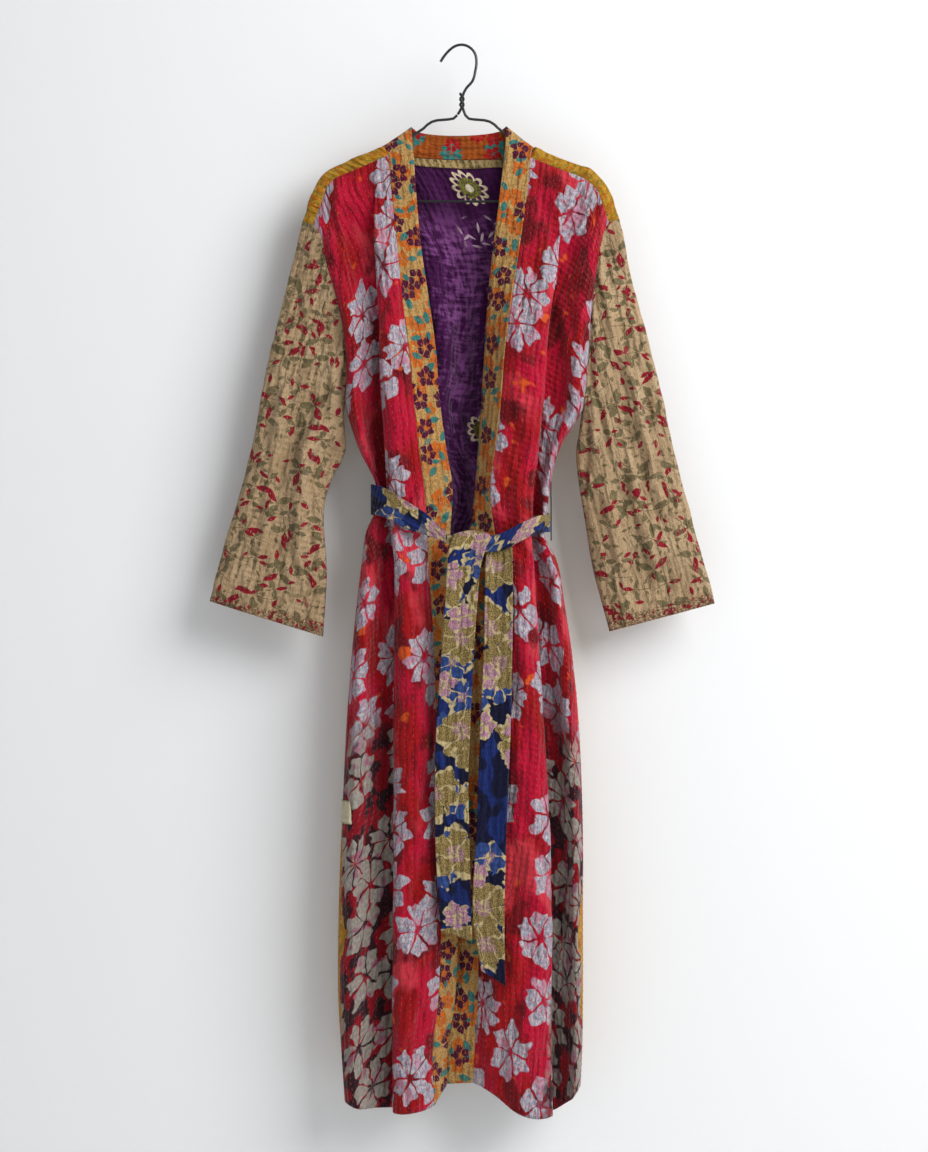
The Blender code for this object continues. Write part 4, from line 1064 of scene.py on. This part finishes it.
def sprigs(u, v, seed, spacing, leaf, share):
    """Sprigs of one red leaf and two olive ones on a thin stem: the masks of the red, olive and stem."""
    across, down, (turn, kind, chance) = cells(u, v, seed, spacing, 0.7)
    across = across + (cloudy(u, v, leaf, leaf, 1.0, seed) - 0.5) * (leaf * 0.7)
    heading = turn * math.tau
    here = edge(share - chance, 0.01)
    masks = []
    for slant, length, width in ((0.0, 1.05, 0.36), (2.0, 0.95, 0.4), (-1.8, 0.85, 0.42)):
        angle = heading + slant
        cosine, sine = angle.do("COSINE"), angle.do("SINE")
        along = (across * cosine + down * sine) / (leaf * length) - 1.12
        beside = (down * cosine - across * sine).do("ABSOLUTE")
        masks.append(edge((1.0 - along * along) * (leaf * width) - beside, leaf * 0.06) * here)
    cosine, sine = heading.do("COSINE"), heading.do("SINE")
    along = across * cosine + down * sine
    beside = (down * cosine - across * sine + (along * along) * 9.0).do("ABSOLUTE")
    stem = edge(0.00045 - beside, 0.0004) * edge(along + leaf * 2.6, 0.001)
    stem = stem * edge(leaf * 0.4 - along, 0.001) * here
    return masks[0] * edge(0.85 - kind, 0.02), masks[1].do("MAXIMUM", masks[2]), stem


def leaf_print(u, v):
    """Red and olive leaves, thin stems and tiny buds on beige."""
    cloth = mixed(cloudy(u, v, 0.03, 0.05, 2.0, 1.0), shade(168, 138, 102), shade(198, 170, 134))
    cloth = blotched(u, v, cloth, shade(124, 106, 76), (0.0018, 0.0018), 3.0, 0.64, 0.04, 0.6, 1.0)
    for seed, spacing, leaf, share in ((14.0, 0.034, 0.0078, 0.85), (4.0, 0.045, 0.0112, 0.95)):
        red, olive, stem = sprigs(u, v, seed, spacing, leaf, share)
        green = mixed(cloudy(u, v, 0.004, 0.004), shade(82, 76, 50), shade(120, 108, 76))
        cloth = mixed(stem * 0.8, cloth, shade(84, 70, 50))
        cloth = mixed(olive * 0.85, cloth, green)
        wine = mixed(cloudy(u, v, 0.003, 0.003, 2.0, 6.0), shade(116, 10, 30), shade(158, 30, 48))
        cloth = mixed(red, cloth, wine)
    cloth = mixed(leaves(u, v, 15.0, 0.013, 0.0042, 0.0018, 0.7) * 0.85, cloth, shade(112, 98, 66))
    cloth = mixed(leaves(u, v, 11.0, 0.022, 0.0058, 0.0024, 0.6), cloth, shade(142, 24, 42))
    by_cuff = edge(v - CUFF_PRINT, 0.003)
    close = edge(cloudy(u, v, 0.003, 0.002, 1.0, 7.0) - 0.5, 0.05)
    cloth = mixed(by_cuff * close * 0.75, cloth, shade(94, 62, 46))
    cloth = mixed(by_cuff * leaves(u, v, 23.0, 0.009, 0.0036, 0.0016, 0.7), cloth, shade(140, 22, 40))
    return painted_crush_shade_and_mottle(u, v, cloth, 0.42)


leaf = cotton("leaf_cotton", leaf_print)
sleeve_thread = plain_finish("beige_thread", shade(196, 166, 128), 0.8)
for side in turns:
    loop, shares, ways = armhole_loop(front_edges[side], turns[side], back_edges[side])
    skin = sleeve(side, loop, shares, ways)
    facing = faced(skin, True)
    cut = opened(skin, int(np.argmin(np.abs(ways))))
    face = crumpled(skin, facing, measured(skin), SLEEVE_CREASE_SEED[side], SLEEVE_CREASE)
    item = cloth(f"{side}_sleeve_cloth", face, facing, QUILT, (leaf, purple), cut)
    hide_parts(f"{side}_sleeve")
    stitched(f"{side}_sleeve_stitches", face, facing, SLEEVE_STITCH_ROWS, sleeve_thread)

# The neckband: one double strip from hem to hem, of ochre cotton with orange, aubergine and teal flowers. It
# stands up behind the neck as the collar, and its last stretch on the left is pieced on.
BAND = 2.4
COLLAR_SAG = 8.0
COLLAR_BEHIND = 9.5
BAND_LONG = 2.4
END_LONG = 0.115
END_TOP = -1284.0
BAND_CREASE = 0.35
BAND_CREASE_SEED = 41
BAND_STITCH_ROWS = 5


def neckband(wholes, turns, neck):
    """The band: rows from the right hem up, round the neck and down to the left hem; the seam is last."""
    free = neck_line(
        np.array(COLLAR_EDGE[RIGHT][-1], float),
        np.array(COLLAR_EDGE[LEFT][-1], float),
        COLLAR_SAG,
        COLLAR_BEHIND - COLLAR_EDGE[RIGHT][-1][1],
    )
    edges = {side: stations(COLLAR_EDGE[side][::-1])[-2::-1] for side in turns}
    seams = {side: turns[side][-2::-1, -1] for side in turns}
    free = np.concatenate([edges[RIGHT], free[1:-1], edges[LEFT][::-1]])
    seam = np.concatenate([seams[RIGHT], neck[1:-1], seams[LEFT][::-1]])
    share = np.linspace(0.0, 1.0, BAND_COLUMNS + 1)[None, :, None]
    collar = free[:, None] + (seam - free)[:, None] * share
    right, left = (wholes[side][:, :BAND_COLUMNS + 1] for side in (RIGHT, LEFT))
    return np.concatenate([right[::-1], collar, left])


def strip_cut(skin):
    """The flat place of each point of a long strip, in metres: across it, and along its middle line."""
    middle = skin[:, skin.shape[1] // 2]
    ahead = unit(np.gradient(middle, axis=0))[:, None]
    length = np.linalg.norm(np.diff(middle, axis=0, prepend=middle[:1]), axis=1).cumsum()
    off = skin - middle[:, None]
    along = np.sum(off * ahead, axis=2)
    across = np.linalg.norm(off - along[..., None] * ahead, axis=2)
    across[:, :skin.shape[1] // 2] *= -1
    return np.stack([across, length[:, None] + along], axis=2) * MM


def band_print(u, v):
    """Small orange, aubergine and teal flowers on ochre."""
    cloth = mixed(cloudy(u, v, 0.01, 0.02, 2.0, 1.0), shade(182, 138, 78), shade(204, 164, 104))
    cloth = blotched(u, v, cloth, shade(134, 90, 44), (0.0024, 0.0024), 2.0, 0.58, 0.05, 0.55, 1.0)
    for seed, share, size in ((3.0, 0.85, 0.0125), (6.0, 0.5, 0.01)):
        bloom, out = flowers(u, v, seed, 0.028, size, 4.0, 0.0003, share, 2.0)
        warm = mixed(edge(0.35 - out, 0.1), shade(184, 82, 22), shade(146, 42, 20))
        cloth = mixed(bloom, cloth, mixed(cloudy(u, v, 0.003, 0.005), warm, shade(214, 116, 42)))
    cloth = mixed(leaves(u, v, 9.0, 0.022, 0.0078, 0.004, 0.85), cloth, shade(62, 120, 114))
    bloom, out = flowers(u, v, 12.0, 0.036, 0.0145, 5.0, 0.0004, 0.85, 0.0)
    heart = mixed(edge(0.28 - out, 0.05), shade(84, 22, 52), shade(182, 94, 32))
    return painted_crush_shade_and_mottle(u, v, mixed(bloom, cloth, heart), 0.45)


def collar_print(u, v):
    """The band's inner face, which shows behind the neck: rust orange with teal and red flowers."""
    cloth = mixed(cloudy(u, v, 0.02, 0.02, 2.0, 1.0), shade(150, 66, 14), shade(178, 92, 30))
    bloom, _ = flowers(u, v, 2.0, 0.04, 0.016, 5.0, 0.0005, 0.8)
    cloth = mixed(bloom, cloth, shade(56, 128, 122))
    bloom, _ = flowers(u, v, 5.0, 0.036, 0.012, 5.0, 0.0004, 0.7)
    return painted_crush_shade_and_mottle(u, v, mixed(bloom, cloth, shade(176, 24, 30)), 0.4)


skin = neckband(wholes, turns, neck)
facing = faced(skin)
cut = strip_cut(skin)
face = crumpled(skin, facing, measured(skin), BAND_CREASE_SEED, BAND_CREASE)
left_part = np.arange(len(skin)) > len(skin) // 2
joint = int(np.argmax(left_part & (skin[:, 0, 2] < END_TOP)))
band = cotton("band_cotton", band_print)
collar = cotton("collar_cotton", collar_print)
for name, rows, long in (
    ("neckband", slice(None, joint + 1), BAND_LONG),
    ("neckband_end", slice(joint, None), END_LONG),
):
    item = cloth(f"{name}_cloth", face[rows], facing[rows], BAND, (band, collar), cut[rows])
    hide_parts(name)
stitched("neckband_stitches", face, facing, BAND_STITCH_ROWS, back_thread)

# The belt: one long soft sash of navy cotton with speckled olive-gold leaves. It runs round the waist, is
# tied once, and its two ends hang down in front; a thin loop of dark thread holds it at the left side.
SASH = 2.2
SASH_CROWN = 1.2
SLANT_FROM = 0.8
SLANT_LONG = 0.2
DROOP_UNTIL = 0.35
DROOP_MELT = 0.4
BELT_CREASE = 0.3

# The middle of the strip and its width, round the waist from knot to knot, over the knot and down each end
Strip = namedtuple("Strip", "x y z width")
BELT_WAIST = (
    Strip(2, -50, -661, 10),
    Strip(-22, -49.5, -647, 15),
    Strip(-45, -48.5, -632, 28),
    Strip(-72, -46, -619, 36),
    Strip(-101, -36, -603, 38),
    Strip(-116, -16, -599, 40),
    Strip(-119, 2, -598, 40),
    Strip(-113, 22, -599, 38),
    Strip(-90, 36, -601, 38),
    Strip(-45, 38.5, -606, 38),
    Strip(0, 39, -611, 37),
    Strip(45, 38.5, -617, 35),
    Strip(90, 36, -623, 31),
    Strip(112, 22, -627, 27),
    Strip(118, 2, -629, 24),
    Strip(114, -18, -630, 23),
    Strip(100, -36, -632, 22),
    Strip(80, -46, -641, 23),
    Strip(54, -49.5, -654, 23),
    Strip(26, -50.5, -660, 17),
)
BELT_KNOT = (
    Strip(9, -41.5, -662, 32),
    Strip(10, -42.5, -650, 37),
    Strip(12, -47.0, -641.5, 45),
    Strip(14, -54.5, -640, 50),
    Strip(15, -60.0, -644, 50),
    Strip(11, -62.5, -654, 49),
    Strip(7, -61.5, -670, 46),
    Strip(3.5, -59.0, -690, 42.5),
)
BELT_TAIL_RIGHT = (
    Strip(3.4, -59.0, -690.5, 42.5),
    Strip(-3.4, -55.5, -786, 42),
    Strip(-9.5, -54.0, -889, 44),
    Strip(-12.0, -53.5, -960, 43.5),
    Strip(-10.5, -53.5, -1060, 44),
    Strip(-5.7, -53.5, -1166, 40.5),
)
BELT_TAIL_LEFT = (
    Strip(50, -43.8, -656, 34),
    Strip(50, -44.2, -668, 34.5),
    Strip(49.5, -48.5, -695, 36),
    Strip(48.3, -53.0, -786, 37),
    Strip(45, -53.5, -889, 39.5),
    Strip(40, -53.5, -1025, 39),
    Strip(36, -52.5, -1140, 41),
    Strip(42, -52.0, -1221, 31.5),
)
# Each stretch of the belt: its strips, its cut in metres, its grid, the slant that it is cut off at, how far
# its top corners droop, the seed of its creases, and the place along the print where it begins
Stretch = namedtuple("Stretch", "strips cut rows columns slant droop seed along")
BELT = {
    "belt_waist": Stretch(BELT_WAIST, (0.034, 0.53), 240, 14, 0.0, 0.0, 51, 0.0),
    "belt_knot": Stretch(BELT_KNOT, (0.048, 0.085), 70, 26, 0.0, 6.0, 52, 0.56),
    "belt_tail_right": Stretch(BELT_TAIL_RIGHT, (0.044, 0.48), 170, 18, 7.0, 0.0, 53, 0.645),
    "belt_tail_left": Stretch(BELT_TAIL_LEFT, (0.042, 0.57), 200, 18, 10.0, 0.0, 54, 1.4),
}


def hanging(line, part):
    """A hanging stretch, wide along X and cut off at a slant; the corners of its top may droop."""
    across = np.linspace(-0.5, 0.5, part.columns + 1)
    skin = np.empty((part.rows + 1, part.columns + 1, 3))
    for number, (x, y, z, width) in enumerate(line):
        down = number / part.rows
        slant = part.slant * ease((down - SLANT_FROM) / SLANT_LONG)
        droop = part.droop * (1 - ease((down - DROOP_UNTIL) / DROOP_MELT))
        skin[number, :, 0] = x + width * across
        skin[number, :, 1] = y + SASH_CROWN * np.cos(2 * math.pi * across)
        skin[number, :, 2] = z - 2 * slant * across - droop * (2 * across) ** 2
    return skin


def upright(line, part):
    """The stretch round the waist: its width stands upright."""
    across = np.linspace(0.5, -0.5, part.columns + 1)
    skin = np.repeat(line[:, None, :3], part.columns + 1, axis=1)
    skin[..., 2] += line[:, 3:] * across
    return skin


def belt_print(u, v):
    """Large olive-gold leaves with gold outlines, pink and light blue ones, on navy and royal blue."""
    navy, royal = shade(14, 17, 50), shade(24, 42, 100)
    cloth = blotched(u, v, navy, royal, (0.03, 0.05), 1.0, 0.52, 0.03, detail=1.0)
    speck = edge(cloudy(u, v, 0.0015, 0.0015, 1.0, 2.0) - 0.48, 0.12)
    gold = mixed(speck, shade(98, 82, 46), shade(164, 140, 88))
    blue = mixed(cloudy(u, v, 0.004, 0.006), shade(24, 44, 106), shade(64, 90, 146))
    pink = mixed(speck, shade(150, 96, 120), shade(188, 146, 160))
    for seed, fill, spacing, size in (
        (3.0, blue, 0.06, 0.024),
        (8.0, gold, 0.07, 0.034),
        (5.0, pink, 0.07, 0.018),
    ):
        bloom, out = flowers(u, v, seed, spacing, size, 4.0, 0.0012, 0.85, 2.0, 0.3, 1.0)
        wide, _ = flowers(u, v, seed, spacing, size * 1.09, 4.0, 0.0002, 0.85, 2.0, 0.3, 1.0)
        cloth = mixed(wide, cloth, shade(196, 176, 128))
        cloth = mixed(bloom, cloth, fill)
        cloth = mixed(edge(0.3 - out, 0.1) * bloom * 0.7, cloth, pink)
    return painted_crush_shade_and_mottle(u, v, cloth, 0.45)


sash = cotton("belt_cotton", belt_print)
for name, part in BELT.items():
    line = flow([(strip.x, strip.y, strip.z, strip.width) for strip in part.strips], part.rows)
    skin = upright(line, part) if name == "belt_waist" else hanging(line, part)
    facing = surface_normals(skin)
    cut = measured(skin) + (0.0, part.along)
    face = skin if name == "belt_knot" else crumpled(skin, facing, measured(skin), part.seed, BELT_CREASE)
    item = cloth(f"{name}_cloth", face, facing, SASH, (sash, sash), cut)
    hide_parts(name)

loop_thread = plain_finish("loop_thread", shade(38, 28, 40), 0.85)
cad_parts["belt_loop"].material_slots[0].material = loop_thread

# The label: a small blank tag of cream woven tape, doubled. Its ends are caught in the right side seam below
# the waist, and it lies slanting on the side of the front.
LABEL_TOP = -993.0
LABEL_TALL = 30.0
LABEL_START = 1.0
LABEL_WIDE = 40.0
LABEL_STEPS = 12
LABEL_REACH = 24
LABEL_THICK = 0.8
LABEL_LIFT = 0.7
LABEL_RIM = 0.0015


def label_print(u, v):
    """Plain cream tape, a little darker at its woven edges."""
    rim = edge(LABEL_RIM - (v - 0.0005).do("MINIMUM", 0.0295 - v), 0.001)
    return painted_crush_shade_and_mottle(u, v, mixed(rim * 0.5, shade(214, 202, 170), shade(160, 146, 116)), 0.25)


side_part = front_faces[RIGHT][:, :-LABEL_REACH:-1]
tag = np.empty((LABEL_STEPS, LABEL_STEPS, 3))
for row, height in enumerate(np.linspace(LABEL_TOP, LABEL_TOP - LABEL_TALL, LABEL_STEPS)):
    heights = -side_part[..., 2]
    line = np.empty((LABEL_REACH - 1, 2))
    for column in range(LABEL_REACH - 1):
        spots = side_part[:, column]
        line[column] = [np.interp(-height, heights[:, column], spots[:, axis]) for axis in (0, 1)]
    along = np.linalg.norm(np.diff(line, axis=0, prepend=line[:1]), axis=1).cumsum()
    across = np.linspace(LABEL_START, LABEL_WIDE, LABEL_STEPS)
    tag[row, :, 0] = np.interp(across, along, line[:, 0])
    tag[row, :, 1] = np.interp(across, along, line[:, 1])
    tag[row, :, 2] = height
facing = surface_normals(tag)
tape = cotton("label_tape", label_print)
item = cloth("label_tape", tag + facing * (LABEL_LIFT + LABEL_THICK), facing, LABEL_THICK, (tape, tape))
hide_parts("label")

# The hanger: one length of steel wire with a black coat. It is bent to a hook, twisted below it, and turned
# round into the sloping arms and the bar that carry the shoulders.
WIRE_COAT = (0.012, 0.012, 0.014)
wire = plain_finish("black_coated_wire", WIRE_COAT, 0.35)
for name in ("hanger_hook", "hanger_frame"):
    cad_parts[name].material_slots[0].material = wire

# The room: a plain pale wall close behind, which is clear from behind, a pale floor below the hem, and soft
# studio light that comes mostly from the upper right.
WALL_Y = 0.062
FLOOR_Z = -1.75
WALL_SHADE = shade(240, 241, 242)
WALL_TOP = 4
ROOM_SIDE = 6
ROOM_LIGHT = 0.36
ROOM_TINT = (0.95, 0.97, 1.0, 1.0)
LAMPS = (
    ("key", (2.1, -2.0, 1.0), 2.2, 110),
    ("fill", (-1.8, -3.0, -0.6), 2.4, 3),
    ("rear", (0.6, 3.0, 0.4), 2.0, 14),
)
AIM = (0.0, 0.0, -0.7)
EYE = (0.004, -3.0, -0.699)
LENS = 71
SENSOR_WIDE = 36


def panel(name, corners, paint):
    """A flat part of the room."""
    mesh = bpy.data.meshes.new(name)
    mesh.from_pydata(corners, [], [(0, 1, 2, 3)])
    mesh.materials.append(paint)
    item = bpy.data.objects.new(name, mesh)
    bpy.context.scene.collection.objects.link(item)
    return item


wall_paint = plain_finish("wall_paint", WALL_SHADE, 0.9)
tree = wall_paint.node_tree
behind = tree.nodes.new("ShaderNodeNewGeometry")
clear = tree.nodes.new("ShaderNodeBsdfTransparent")
choice = tree.nodes.new("ShaderNodeMixShader")
tree.links.new(behind.outputs["Backfacing"], choice.inputs[0])
tree.links.new(tree.nodes["Principled BSDF"].outputs[0], choice.inputs[1])
tree.links.new(clear.outputs[0], choice.inputs[2])
tree.links.new(choice.outputs[0], tree.nodes["Material Output"].inputs[0])
floor_paint = plain_finish("floor_paint", shade(232, 232, 230), 0.9)
around = ((-ROOM_SIDE, -ROOM_SIDE), (ROOM_SIDE, -ROOM_SIDE), (ROOM_SIDE, ROOM_SIDE), (-ROOM_SIDE, ROOM_SIDE))
heights = (FLOOR_Z, FLOOR_Z, WALL_TOP, WALL_TOP)
wall = panel("wall", [(x, WALL_Y, z) for (x, _), z in zip(around, heights)], wall_paint)
wall.visible_shadow = False
panel("floor", [(x, y, FLOOR_Z) for x, y in around], floor_paint)

scene = bpy.context.scene
world = bpy.data.worlds.new("room_light")
world.use_nodes = True
world.node_tree.nodes["Background"].inputs[0].default_value = ROOM_TINT
world.node_tree.nodes["Background"].inputs[1].default_value = ROOM_LIGHT
scene.world = world
for name, place, width, watts in LAMPS:
    lamp = bpy.data.lights.new(name, "AREA")
    lamp.size = width
    lamp.energy = watts
    item = bpy.data.objects.new(name, lamp)
    item.location = place
    item.rotation_euler = (Vector(AIM) - Vector(place)).to_track_quat("-Z", "Y").to_euler()
    scene.collection.objects.link(item)

scene.view_settings.view_transform = "Standard"
camera = bpy.data.cameras.new("camera")
camera.lens = LENS
camera.sensor_width = SENSOR_WIDE
item = bpy.data.objects.new("camera", camera)
item.location = EYE
item.rotation_euler = (math.pi / 2, 0, 0)
scene.collection.objects.link(item)
scene.camera = item
